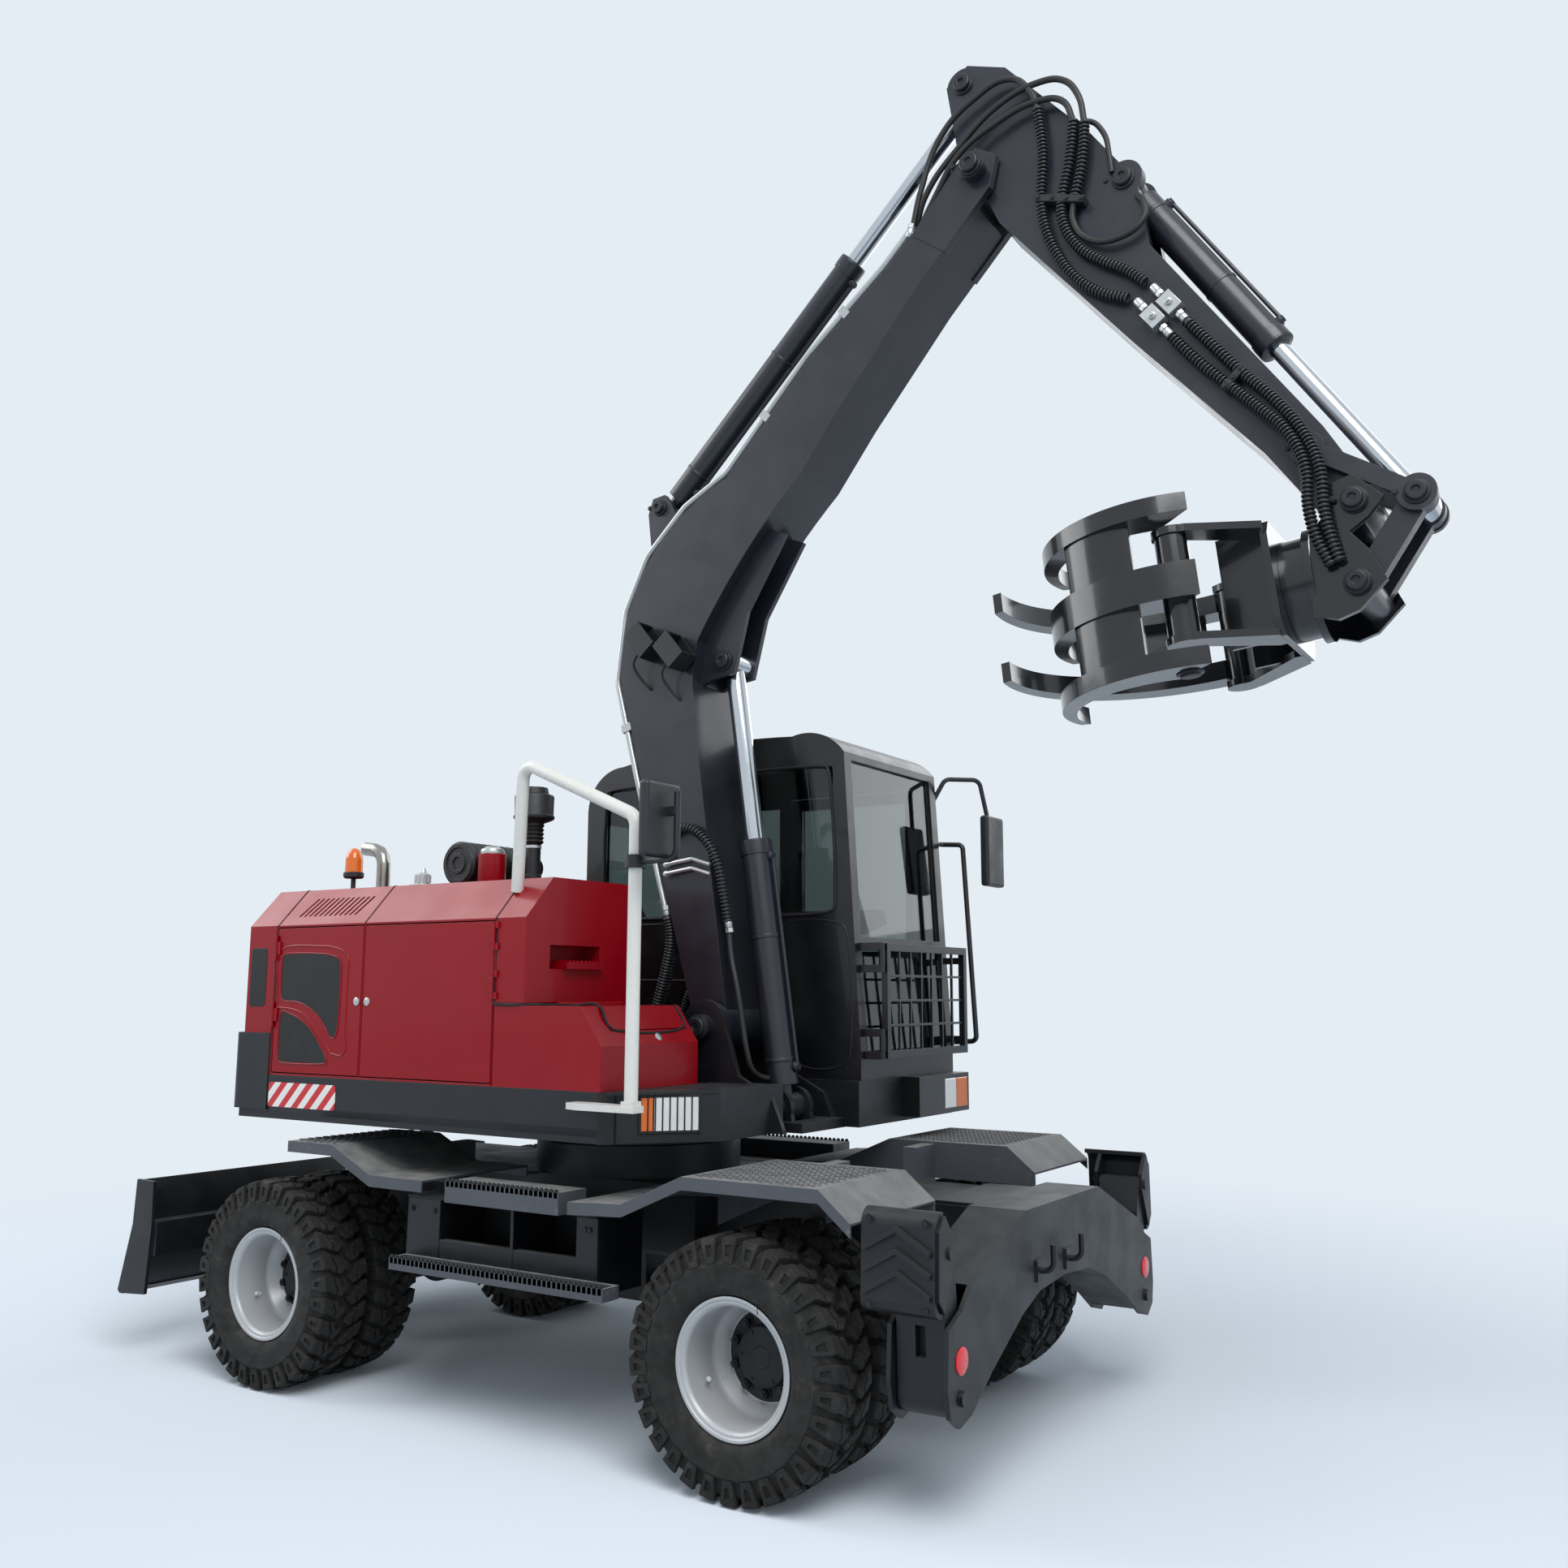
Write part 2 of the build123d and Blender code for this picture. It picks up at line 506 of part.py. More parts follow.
# ---------------------------------------------------------------- upper frame
SKIRT_FOLD_Z = 1168.0
NOSE_X = 1063.0
SKIRT_X0 = -1284.7
CORNER_X = 600.0          # where the right skirt turns into the cut corner
CAB_Y0, CAB_Y1 = 130.0, BODY_HALF_W
CAB_SILL_Y = CAB_Y0 - 18  # right face of the wall the cab stands on
deck_outline = [
    (TAIL_X, -WALL_IN_Y), (CORNER_X, -WALL_IN_Y), (640, 70 - BODY_HALF_W), (900, -640), (900, -230), (1000, -230),
    (1000, CAB_SILL_Y), (NOSE_X, CAB_SILL_Y), (NOSE_X, WALL_IN_Y), (TAIL_X, WALL_IN_Y),
]
upper = flat_plate(deck_outline, DECK_Z0, DECK_Z1)
FOLD_Y = BODY_HALF_W - 35          # where the skirt's lower fold meets the deck
FOLD_IN_Y = BODY_HALF_W - 60
skirt_section = [(-BODY_HALF_W, SKIRT_Z1), (-BODY_HALF_W, SKIRT_FOLD_Z), (-FOLD_Y, DECK_Z0),
                 (-FOLD_IN_Y, DECK_Z0), (-FOLD_IN_Y, DECK_Z0 + 30), (-WALL_IN_Y, SKIRT_FOLD_Z + 10),
                 (-WALL_IN_Y, SKIRT_Z1)]
upper = upper + cross_plate(skirt_section, SKIRT_X0, CORNER_X)
upper = upper + cross_plate([(-y, z) for y, z in skirt_section], SKIRT_X0, NOSE_X)
# standing plates of the front walls: (x, y) outlines
front_walls = [
    [(600, -BODY_HALF_W), (640, 45 - BODY_HALF_W), (640, 75 - BODY_HALF_W), (600, 30 - BODY_HALF_W)],
    [(630, 50 - BODY_HALF_W), (900, -650), (900, -620), (622, 70 - BODY_HALF_W)],
    [(882, -650), (900, -650), (900, -215), (882, -215)],
    [(NOSE_X - 18, CAB_SILL_Y), (NOSE_X, CAB_SILL_Y), (NOSE_X, WALL_IN_Y + 5), (NOSE_X - 18, WALL_IN_Y + 5)],
]
for wall in front_walls:
    upper = upper + flat_plate(wall, DECK_Z0, SKIRT_Z1)
corner_cut = flat_plate([(640, -BODY_HALF_W), (960, -BODY_HALF_W), (960, -650), (900, -650)],
                        SKIRT_Z1 - 20, SKIRT_Z1 + 5)
upper = upper + (block(CORNER_X, 900, 15 - BODY_HALF_W, -230, SKIRT_Z1 - 12, SKIRT_Z1) - corner_cut)
upper = upper + block(-640, NOSE_X, CAB_SILL_Y, CAB_SILL_Y + 38, DECK_Z0, SKIRT_Z1)
# boom foot brackets on their deep roots, and the cheeks for the lift cylinder's low pin
foot_x, foot_z = BOOM_FOOT
low_x, low_z = BOOM_CYL_LOW
BOOM_EYE_W = 118.0
CHEEK_R = 80.0
upper = upper - block(low_x - 75, low_x + 75, BOOM_Y - 65, BOOM_Y + 65, DECK_Z1 - 22, DECK_Z1 + 1)
for side in (1, -1):
    b0, b1 = sorted((BOOM_Y + side * (FOOT_HALF_W + PIN_GAP), BOOM_Y + side * (FOOT_HALF_W + 24)))
    bracket = side_plate([(60, DECK_Z0), (250, 1380), (foot_x - 108, foot_z), (foot_x + 108, foot_z),
                          (740, 1330), (900, 1250), (960, DECK_Z0)], b0, b1)
    upper = upper + bracket + bar_y(foot_x, foot_z, 110, b0, b1)
    c0, c1 = sorted((BOOM_Y + side * (BOOM_EYE_W / 2 + PIN_GAP), BOOM_Y + side * (BOOM_EYE_W / 2 + 26)))
    cheek = side_plate([(600, DECK_Z0), (660, 1200), (low_x - 70, low_z + 20), (low_x + 70, low_z + 20),
                        (low_x + 90, DECK_Z0)], c0, c1)
    upper = upper + cheek + bar_y(low_x, low_z, CHEEK_R, c0, c1)
# pin ends on the right, outside the brackets
upper = upper + bar_y(foot_x, foot_z, 48, BOOM_Y - FOOT_HALF_W - 62, BOOM_Y - FOOT_HALF_W - 20)
upper = upper + bar_y(low_x, low_z, 52, BOOM_Y - BOOM_EYE_W / 2 - 70, BOOM_Y - BOOM_EYE_W / 2 - 20)
save("upper_frame", upper)

# ---------------------------------------------------------------- counterweight
WEIGHT_X1 = -1285.0
WEIGHT_Y = BODY_HALF_W + 3
weight_path = [
    (WEIGHT_X1, -WEIGHT_Y), (-1490, -WEIGHT_Y), ("arc", (-1528, 18 - WEIGHT_Y), (-1545, 63 - WEIGHT_Y)),
    ("arc", (-1640, 0), (-1545, WEIGHT_Y - 63)), ("arc", (-1528, WEIGHT_Y - 18), (-1490, WEIGHT_Y)),
    (WEIGHT_X1, WEIGHT_Y), (WEIGHT_X1, WEIGHT_Y - 43), (-1470, WEIGHT_Y - 103), (-1470, 103 - WEIGHT_Y),
    (WEIGHT_X1, 43 - WEIGHT_Y),
]
WEIGHT_Z1 = 1480.0
save("counterweight", curved_flat(weight_path, DECK_Z1 + SEAT_GAP, WEIGHT_Z1))

# ---------------------------------------------------------------- engine hood
HOOD_X0 = -1465.0
HOOD_MID = -700.0
HOOD_X1 = 220.0
HOOD_INNER_Y = -385.0
HOOD_Z0 = SKIRT_Z1 + SEAT_GAP
SHOULDER_Z = 1950.0
ROOF_Z = 2115.0
ROOF_Y = BODY_HALF_W - 150
HOOD_WALL = 16.0
DOOR_SEAMS = [-1270.0, -700.0, 60.0]
HINGE_R = 7.0
HINGE_Y = BODY_HALF_W + 8 # |y| of the axes of the doors in the side walls


def hinge_on_z(x, side, leaf_dir, levels, r=HINGE_R, half=28.0):
    """Knuckles of a door hinge whose axis is vertical.

    side is the machine's side, leaf_dir the way from the axis to the leaf along x.
    Returns the leaf's knuckles and the body's, at each of the levels.
    """
    y = side * HINGE_Y
    leaf, body = [], []
    tab_y0, tab_y1 = sorted((side * (BODY_HALF_W - 1), side * HINGE_Y))
    for z in levels:
        leaf.append(bar_z(x, y, r, z - half, z + half))
        tab_x0, tab_x1 = sorted((x, x + leaf_dir * 26))
        leaf.append(block(tab_x0, tab_x1, tab_y0, tab_y1, z - half, z + half))
        tab_x0, tab_x1 = sorted((x, x - leaf_dir * 22))
        for z0, z1 in ((z + half + RUNNING_GAP, z + half * 2), (z - half * 2, z - half - RUNNING_GAP)):
            body.append(bar_z(x, y, r, z0, z1))
            body.append(block(tab_x0, tab_x1, tab_y0, tab_y1, z0, z1))
    return leaf, body


def hood_section(y_in, inset):
    """End view of the hood between its right side and y_in, moved in by inset."""
    return [
        (-BODY_HALF_W + inset, HOOD_Z0), (-BODY_HALF_W + inset, SHOULDER_Z - inset * 0.4),
        (-ROOF_Y + inset * 0.6, ROOF_Z - inset), (y_in - inset, ROOF_Z - inset), (y_in - inset, HOOD_Z0),
    ]


def bay_section(inset):
    """End view of the rear bay, moved in by inset."""
    right = [(-BODY_HALF_W + inset, HOOD_Z0), (-BODY_HALF_W + inset, SHOULDER_Z - inset * 0.4),
             (-ROOF_Y + inset * 0.6, ROOF_Z - inset)]
    return right + [(-y, z) for y, z in reversed(right)]


rear_bay = cross_plate(bay_section(0), HOOD_X0, HOOD_MID)
rear_bay = rear_bay - cross_plate(bay_section(HOOD_WALL), HOOD_X0 + HOOD_WALL, HOOD_MID - HOOD_WALL)
front_bay = cross_plate(hood_section(HOOD_INNER_Y, 0), HOOD_MID - 1, HOOD_X1)
front_bay = front_bay - cross_plate(hood_section(HOOD_INNER_Y, HOOD_WALL), HOOD_MID, HOOD_X1 - HOOD_WALL)
front_bay = front_bay - block(DOOR_SEAMS[2], HOOD_X1 + 10, -BODY_HALF_W - 1, -300, HOOD_Z0 - 1, 1620)
hood = rear_bay + front_bay
# side door openings between the seams
for x0, x1 in ((DOOR_SEAMS[0], DOOR_SEAMS[1]), (DOOR_SEAMS[1], DOOR_SEAMS[2])):
    hood = hood - block(x0 + 2, x1 - 2, -BODY_HALF_W - 10, 40 - BODY_HALF_W, HOOD_Z0 + 8, SHOULDER_Z - 8)
hood = hood + block(DOOR_SEAMS[1] - 22, DOOR_SEAMS[1] + 22, 32 - BODY_HALF_W, 55 - BODY_HALF_W, HOOD_Z0, SHOULDER_Z)
# grille openings on the left side and at the rear
hood = hood - block(-1265, -716, BODY_HALF_W - 50, BODY_HALF_W + 10, HOOD_Z0 + 60, SHOULDER_Z - 60)
hood = hood - block(HOOD_X0 - 5, HOOD_X0 + 20, -700, 700, 1560, 1880)
# rear corners stand on the counterweight
for y0, y1 in ((-BODY_HALF_W - 10, 110 - BODY_HALF_W), (BODY_HALF_W - 110, BODY_HALF_W + 10)):
    hood = hood - block(HOOD_X0 - 5, WEIGHT_X1 + SEAT_GAP, y0, y1, HOOD_Z0 - 1, WEIGHT_Z1 + SEAT_GAP)
# slanted slots through the shoulder over the rear door
LOUVRES = 12
LOUVRE_STEP = 33.0
LOUVRE_W = 13.0
LOUVRE_LEAN = 34.0
louvre_z0, louvre_z1 = SHOULDER_Z + 38, ROOF_Z - 45
for k in range(LOUVRES):
    x = -1180 + LOUVRE_STEP * k
    slot_outline = [(x, louvre_z0), (x + LOUVRE_W, louvre_z0), (x + LOUVRE_W + LOUVRE_LEAN, louvre_z1),
                    (x + LOUVRE_LEAN, louvre_z1)]
    hood = hood - side_plate(slot_outline, -BODY_HALF_W, 40 - ROOF_Y)
# a foot step sunk in the front face
STEP_Y0, STEP_Y1 = -860.0, -560.0
STEP_Z0, STEP_Z1 = 1752.0, 1846.0
hood = hood + block(HOOD_X1 - 110, HOOD_X1 - 2, STEP_Y0 - 12, STEP_Y1 + 12, STEP_Z0 - 12, STEP_Z1 + 12)
hood = hood - block(HOOD_X1 - 98, HOOD_X1 + 1, STEP_Y0, STEP_Y1, STEP_Z0, STEP_Z1)
hood = hood + block(HOOD_X1 - 70, HOOD_X1 + 28, STEP_Y0 + 70, STEP_Y1, STEP_Z0, STEP_Z0 + 26)
REAR_DOOR_HINGE_X = DOOR_SEAMS[0] + 2
FRONT_DOOR_HINGE_X = DOOR_SEAMS[2] - 2
rear_leaf, rear_body = hinge_on_z(REAR_DOOR_HINGE_X, -1, 1, (1560, 1850))
front_leaf, front_body = hinge_on_z(FRONT_DOOR_HINGE_X, -1, -1, (1690, 1880))
save("hood_shell", fused([hood] + rear_body + front_body))

DOOR_Z0, DOOR_Z1 = HOOD_Z0 + 8 + DOOR_GAP, SHOULDER_Z - 8 - DOOR_GAP
for node, x0, x1, knuckles in (("hood_door_rear", DOOR_SEAMS[0], DOOR_SEAMS[1], rear_leaf),
                               ("hood_door_front", DOOR_SEAMS[1], DOOR_SEAMS[2], front_leaf)):
    leaf = block(x0 + DOOR_GAP + 2, x1 - DOOR_GAP - 2, -BODY_HALF_W, -BODY_HALF_W + DOOR_T, DOOR_Z0, DOOR_Z1)
    save(node, fused([leaf] + knuckles))

rear_grille = block(HOOD_X0 + 2, HOOD_X0 + 14, -700 + SEAT_GAP, 700 - SEAT_GAP, 1560 + SEAT_GAP, 1880 - SEAT_GAP)
side_grille = block(-1265 + SEAT_GAP, -716 - SEAT_GAP, BODY_HALF_W - 16, BODY_HALF_W - 2,
                    HOOD_Z0 + 60 + SEAT_GAP, SHOULDER_Z - 60 - SEAT_GAP)
save("hood_grilles", rear_grille, side_grille)
save("engine_block", block(-1330, -780, -480, 440, DECK_Z1 + SEAT_GAP, 1900))

# pieces that stand on the hood's roof
roof_top = ROOF_Z + SEAT_GAP
EXHAUST_R = 32.0
exhaust_points = [(-1180, -500, roof_top), (-1180, -500, 2322), (-1310, -500, 2340)]
save("exhaust", pipe(exhaust_points, EXHAUST_R, 60))
beacon = bar_z(-1150, -700, 12, roof_top, 2180) + bar_z(-1150, -700, 46, 2176, 2200) + bar_z(-1150, -700, 40, 2198, 2320)
filter_drum = bar_y(-620, 2232, 100, -560, -200) + block(-680, -560, -520, -240, roof_top, 2180)
canister = bar_z(-450, -520, 62, roof_top, 2300)
cleaner = bar_z(-300, -420, 34, roof_top, 2440) + bar_z(-300, -420, 88, 2430, 2530) + bar_z(-300, -420, 60, 2525, 2570)
fuel_cap = bar_z(-800, -600, 62, roof_top, 2140) + bar_z(-800, -600, 38, 2135, 2215)
save("roof_fittings", beacon, filter_drum, canister, cleaner, fuel_cap)

# ---------------------------------------------------------------- tool box
TOOLBOX_X0, TOOLBOX_X1 = 66.0, 610.0
TOOLBOX_Z1 = 1610.0
BEVEL_X, BEVEL_Z = 510.0, 1465.0
TOOLBOX_Y0, TOOLBOX_Y1 = -BODY_HALF_W, -400.0
BOX_SKIN = 14.0
LID_X0 = 270.0
LID_Y0, LID_Y1 = 100 - BODY_HALF_W, -430.0
box_outline = [(TOOLBOX_X0, HOOD_Z0), (TOOLBOX_X0, TOOLBOX_Z1), (BEVEL_X, TOOLBOX_Z1), (TOOLBOX_X1, BEVEL_Z),
               (TOOLBOX_X1, HOOD_Z0)]
hollow_outline = [(250, HOOD_Z0 + BOX_SKIN), (250, TOOLBOX_Z1 - 12), (BEVEL_X - 6, TOOLBOX_Z1 - 12),
                  (TOOLBOX_X1 - BOX_SKIN, BEVEL_Z - 1), (TOOLBOX_X1 - BOX_SKIN, HOOD_Z0 + BOX_SKIN)]
lid_cut = side_plate([(LID_X0, 1590), (LID_X0, 1640), (600, 1640), (598, 1535), (557, 1506), (498, 1590)],
                     LID_Y0 - 4, LID_Y1 + 4)
tool_box = side_plate(box_outline, TOOLBOX_Y0, TOOLBOX_Y1)
tool_box = tool_box - side_plate(hollow_outline, TOOLBOX_Y0 + BOX_SKIN, TOOLBOX_Y1 - BOX_SKIN) - lid_cut
save("tool_box", tool_box)
LID_HINGE_Z = TOOLBOX_Z1 + HINGE_R + 0.6
lid = side_plate([(LID_X0 + 6, 1600), (LID_X0 + 6, TOOLBOX_Z1), (BEVEL_X, TOOLBOX_Z1), (571, 1521.6), (562.8, 1516),
                  (505, 1600)], LID_Y0 + 2, LID_Y1 - 2)
lid = lid + bar_y(LID_X0, LID_HINGE_Z, HINGE_R, LID_Y0 + 40, LID_Y1 - 40)
lid = lid + block(LID_X0, LID_X0 + 34, LID_Y0 + 40, LID_Y1 - 40, TOOLBOX_Z1 - 1, TOOLBOX_Z1 + 8)
save("tool_box_lid", lid)

# ---------------------------------------------------------------- cab
CAB_WALL = 40.0
CAB_Z0 = SKIRT_Z1 + SEAT_GAP
WAIST_X, WAIST_Z = 1064.0, 1400.0       # foot of the slanted front wall
BROW_X, BROW_Z = 985.0, 2700.0          # its top
cab_path = [(-460, CAB_Z0), (-460, 2520), ("arc", (-405, 2665), (-250, 2735)), ("arc", (130, 2785), (720, 2790)),
            ("arc", (900, 2772), (BROW_X, BROW_Z)), (WAIST_X, WAIST_Z), (WAIST_X, CAB_Z0)]
inner_path = [(-420, CAB_Z0 + 34), (-420, 2500), ("arc", (-370, 2630), (-230, 2695)), ("arc", (130, 2740), (700, 2744)),
              ("arc", (870, 2730), (945, 2680)), (1022, WAIST_Z), (1022, CAB_Z0 + 34)]
cab = curved_side(cab_path, CAB_Y0, CAB_Y1) - curved_side(inner_path, CAB_Y0 + CAB_WALL, CAB_Y1 - CAB_WALL)
SCREENS = [(1900, 2668), (1400, 1860)]                            # windscreen panes: (z0, z1)
RIGHT_PANES = [(-350, 240, 2010, 2620), (300, 930, 2010, 2640)]   # (x0, x1, z0, z1)
LEFT_PANE = (-360, 120, 1760, 2600)
REAR_PANE = (1800, 2480)
SCREEN_INSET = 60.0
for z0, z1 in SCREENS:
    cab = cab - block(900, 1200, CAB_Y0 + SCREEN_INSET, CAB_Y1 - SCREEN_INSET, z0, z1)
for x0, x1, z0, z1 in RIGHT_PANES:
    cab = cab - block(x0, x1, CAB_Y0 - 10, CAB_Y0 + 60, z0, z1)
cab = cab - block(LEFT_PANE[0], LEFT_PANE[1], CAB_Y1 - 60, CAB_Y1 + 10, LEFT_PANE[2], LEFT_PANE[3])
CAB_DOOR_X0, CAB_DOOR_X1, CAB_DOOR_Z0, CAB_DOOR_Z1 = 190.0, 900.0, 1345.0, 2640.0
cab = cab - block(CAB_DOOR_X0, CAB_DOOR_X1, CAB_Y1 - 60, CAB_Y1 + 10, CAB_DOOR_Z0, CAB_DOOR_Z1)
cab = cab - block(-480, -400, CAB_Y0 + 90, CAB_Y1 - 90, REAR_PANE[0], REAR_PANE[1])
door_knuckles, cab_knuckles = hinge_on_z(CAB_DOOR_X0 + 1, 1, 1, (1500, 2480))
save("cab_shell", fused([cab] + cab_knuckles))

DOOR_FRAME_W = 60.0
DOOR_SILL_Z = 1860.0      # foot of the door's window
door = block(CAB_DOOR_X0 + DOOR_GAP, CAB_DOOR_X1 - DOOR_GAP, CAB_Y1 - 38, CAB_Y1,
             CAB_DOOR_Z0 + DOOR_GAP, CAB_DOOR_Z1 - DOOR_GAP)
pane_x0, pane_x1 = CAB_DOOR_X0 + DOOR_FRAME_W, CAB_DOOR_X1 - DOOR_FRAME_W
pane_z1 = CAB_DOOR_Z1 - DOOR_FRAME_W
door = door - block(pane_x0, pane_x1, CAB_Y1 - 50, CAB_Y1 + 10, DOOR_SILL_Z, pane_z1)
save("cab_door", fused([door] + door_knuckles))
PANE_T = 6.0
save("cab_door_glass", block(pane_x0 + SEAT_GAP, pane_x1 - SEAT_GAP, CAB_Y1 - 24, CAB_Y1 - 24 + PANE_T,
                             DOOR_SILL_Z + SEAT_GAP, pane_z1 - SEAT_GAP))

panes = []
for x0, x1, z0, z1 in RIGHT_PANES:
    panes.append(block(x0 + SEAT_GAP, x1 - SEAT_GAP, CAB_Y0 + 14, CAB_Y0 + 14 + PANE_T, z0 + SEAT_GAP, z1 - SEAT_GAP))
panes.append(block(LEFT_PANE[0] + SEAT_GAP, LEFT_PANE[1] - SEAT_GAP, CAB_Y1 - 20, CAB_Y1 - 20 + PANE_T,
                   LEFT_PANE[2] + SEAT_GAP, LEFT_PANE[3] - SEAT_GAP))
panes.append(block(-446, -446 + PANE_T, CAB_Y0 + 90 + SEAT_GAP, CAB_Y1 - 90 - SEAT_GAP,
                   REAR_PANE[0] + SEAT_GAP, REAR_PANE[1] - SEAT_GAP))


def front_x(z):
    """Face of the cab's slanted front wall at height z."""
    return WAIST_X - (z - WAIST_Z) * (WAIST_X - BROW_X) / (BROW_Z - WAIST_Z)


for z0, z1 in SCREENS:
    low, high = z0 + SEAT_GAP, z1 - SEAT_GAP
    pane_outline = [(front_x(low) - 22, low), (front_x(low) - 16, low), (front_x(high) - 16, high),
                    (front_x(high) - 22, high)]
    panes.append(side_plate(pane_outline, CAB_Y0 + SCREEN_INSET + SEAT_GAP, CAB_Y1 - SCREEN_INSET - SEAT_GAP))
save("cab_glass", *panes)

floor_z = CAB_Z0 + 34 + SEAT_GAP
SEAT_Y = (CAB_Y0 + CAB_Y1) / 2 + 10
seat = block(80, 420, SEAT_Y - 180, SEAT_Y + 180, floor_z, 1600) + block(30, 540, SEAT_Y - 250, SEAT_Y + 250, 1590, 1740)
seat = seat + side_plate([(30, 1650), (140, 1650), (60, 2330), (-40, 2330)], SEAT_Y - 230, SEAT_Y + 230)
consoles = []
for y0, y1 in ((CAB_Y0 + 80, CAB_Y0 + 185), (CAB_Y1 - 160, CAB_Y1 - 55)):
    lever_y = (y0 + y1) / 2
    consoles.append(block(120, 620, y0, y1, floor_z, 1860) + block(500, 540, lever_y - 20, lever_y + 20, 1850, 2010))
column = block(820, 900, SEAT_Y - 50, SEAT_Y + 50, floor_z, floor_z + 30)
column = column + between((860, SEAT_Y, floor_z + 12), (740, SEAT_Y, 1960), 35)
column = column + between((735, SEAT_Y, 1940), (722, SEAT_Y, 1985), 190)
save("cab_interior", seat, *consoles, column)

# guard frame over the lower windscreen, on a hinge at its inner edge
GUARD_X0, GUARD_X1 = 1128.0, 1156.0
GUARD_HINGE_X, GUARD_HINGE_Y = 1142.0, 172.0
GUARD_Y0, GUARD_Y1 = 196.0, CAB_Y1 - 30
GUARD_LEVELS = (1450, 1810)
KNUCKLE_R = 12.0
guard = block(GUARD_X0, GUARD_X1, GUARD_Y0, GUARD_Y1, 1390, 1870)
guard = guard - block(GUARD_X0 - 5, GUARD_X1 + 5, GUARD_Y0 + 30, GUARD_Y1 - 30, 1422, 1838)
GUARD_BARS = 6
GUARD_CROSS = 3
for k in range(GUARD_BARS):
    y = GUARD_Y0 + 30 + (GUARD_Y1 - GUARD_Y0 - 60) / (GUARD_BARS + 1) * (k + 1)
    guard = guard + block(GUARD_X0 + 8, GUARD_X0 + 18, y - 5, y + 5, 1415, 1845)
for k in range(GUARD_CROSS):
    z = 1422 + 416 / (GUARD_CROSS + 1) * (k + 1)
    guard = guard + block(GUARD_X0 + 8, GUARD_X0 + 18, GUARD_Y0 + 20, GUARD_Y1 - 20, z - 5, z + 5)
lugs = []
for z in GUARD_LEVELS:
    guard = guard + bar_z(GUARD_HINGE_X, GUARD_HINGE_Y, KNUCKLE_R, z - 30, z + 30)
    guard = guard + block(GUARD_HINGE_X - 6, GUARD_HINGE_X + 6, GUARD_HINGE_Y, GUARD_Y0 + 5, z - 30, z + 30)
    for z0, z1 in ((z - 62, z - 30 - RUNNING_GAP), (z + 30 + RUNNING_GAP, z + 62)):
        x_face = front_x(z0) + SEAT_GAP
        lugs.append(block(x_face, GUARD_HINGE_X, GUARD_HINGE_Y - KNUCKLE_R, GUARD_HINGE_Y + KNUCKLE_R, z0, z1)
                    + bar_z(GUARD_HINGE_X, GUARD_HINGE_Y, KNUCKLE_R, z0, z1))
    # stops the closed guard leans on
    x_face = front_x(z - 15) + SEAT_GAP
    lugs.append(block(x_face, GUARD_X0 - SEAT_GAP, CAB_Y1 - 50, CAB_Y1 - 38, z - 15, z + 15))
save("guard_frame", guard)
lamp_box = block(NOSE_X + SEAT_GAP, 1150, 490, CAB_Y1 - 15, 1130, SKIRT_Z1)
# grab rail at the cab's front left corner
RAIL_R = 12.0
RAIL_Y = CAB_Y1 + 42
rail_points = [(992, CAB_Y1 + SEAT_GAP, 2374), (992, RAIL_Y, 2374), (1112, RAIL_Y, 2366), (1168, RAIL_Y, 1440),
               (1050, RAIL_Y, 1432), (1050, CAB_Y1 + SEAT_GAP, 1432)]
cab_rail = pipe(rail_points, RAIL_R, 26)
save("guard_brackets", *lugs, lamp_box, cab_rail)

# ---------------------------------------------------------------- handrail and mirrors
POST_R = 25.0
POST_X, POST_Y = 796.0, -BODY_HALF_W - 50
post_points = [(POST_X, POST_Y, 1262), (POST_X, POST_Y, 2300), (183, POST_Y + 50, 2559), (73, POST_Y + 150, 2060)]
rail = pipe(post_points, POST_R, 60) - cross_plate(bay_section(0), -100, 300)
foot_plate = flat_plate([(500, -BODY_HALF_W - SEAT_GAP), (500, POST_Y - 10), (560, POST_Y - 30), (830, POST_Y - 30),
                         (830, POST_Y + 30), (700, POST_Y + 40), (CORNER_X, -BODY_HALF_W - SEAT_GAP)], 1240, 1264)
rail = rail + foot_plate + block(POST_X - 26, POST_X + 26, POST_Y - 26, POST_Y + 26, 1240, 1280)
save("handrail", rail)
CLAMP_R = 38.0
ARM_X, ARM_Y = 1000.0, POST_Y - 22
right_arm = pipe([(POST_X + CLAMP_R - 6, POST_Y, 2132), (ARM_X, ARM_Y, 2132), (ARM_X, ARM_Y, 2372)], 12, 40)
right_glass = rounded(block(922, 964, ARM_Y - 128, ARM_Y + 72, 2135, 2405), 14)
clamp = bar_z(POST_X, POST_Y, CLAMP_R, 2108, 2156) - bar_z(POST_X, POST_Y, POST_R + SEAT_GAP, 2100, 2170)
right_mirror = right_arm + right_glass + clamp + block(960, ARM_X, ARM_Y - 18, ARM_Y + 18, 2288, 2318)
# the left one hangs from a bent arm on the cab's front post
left_path = [(975, CAB_Y1 + 14, 2590), (1030, CAB_Y1 + 30, 2690), (1160, CAB_Y1 + 140, 2690),
             (1196, CAB_Y1 + 180, 2440)]
left_glass = rounded(block(1180, 1224, CAB_Y1 + 90, CAB_Y1 + 280, 2170, 2510), 14)
left_mirror = block(940, 984, CAB_Y1 + SEAT_GAP, CAB_Y1 + 16, 2550, 2630) + pipe(left_path, 11, 40) + left_glass
save("mirrors", right_mirror, left_mirror)

# ---------------------------------------------------------------- boom
FORK_OUT = BOOM_HALF_W + 4
STICK_EYE_W = 104.0
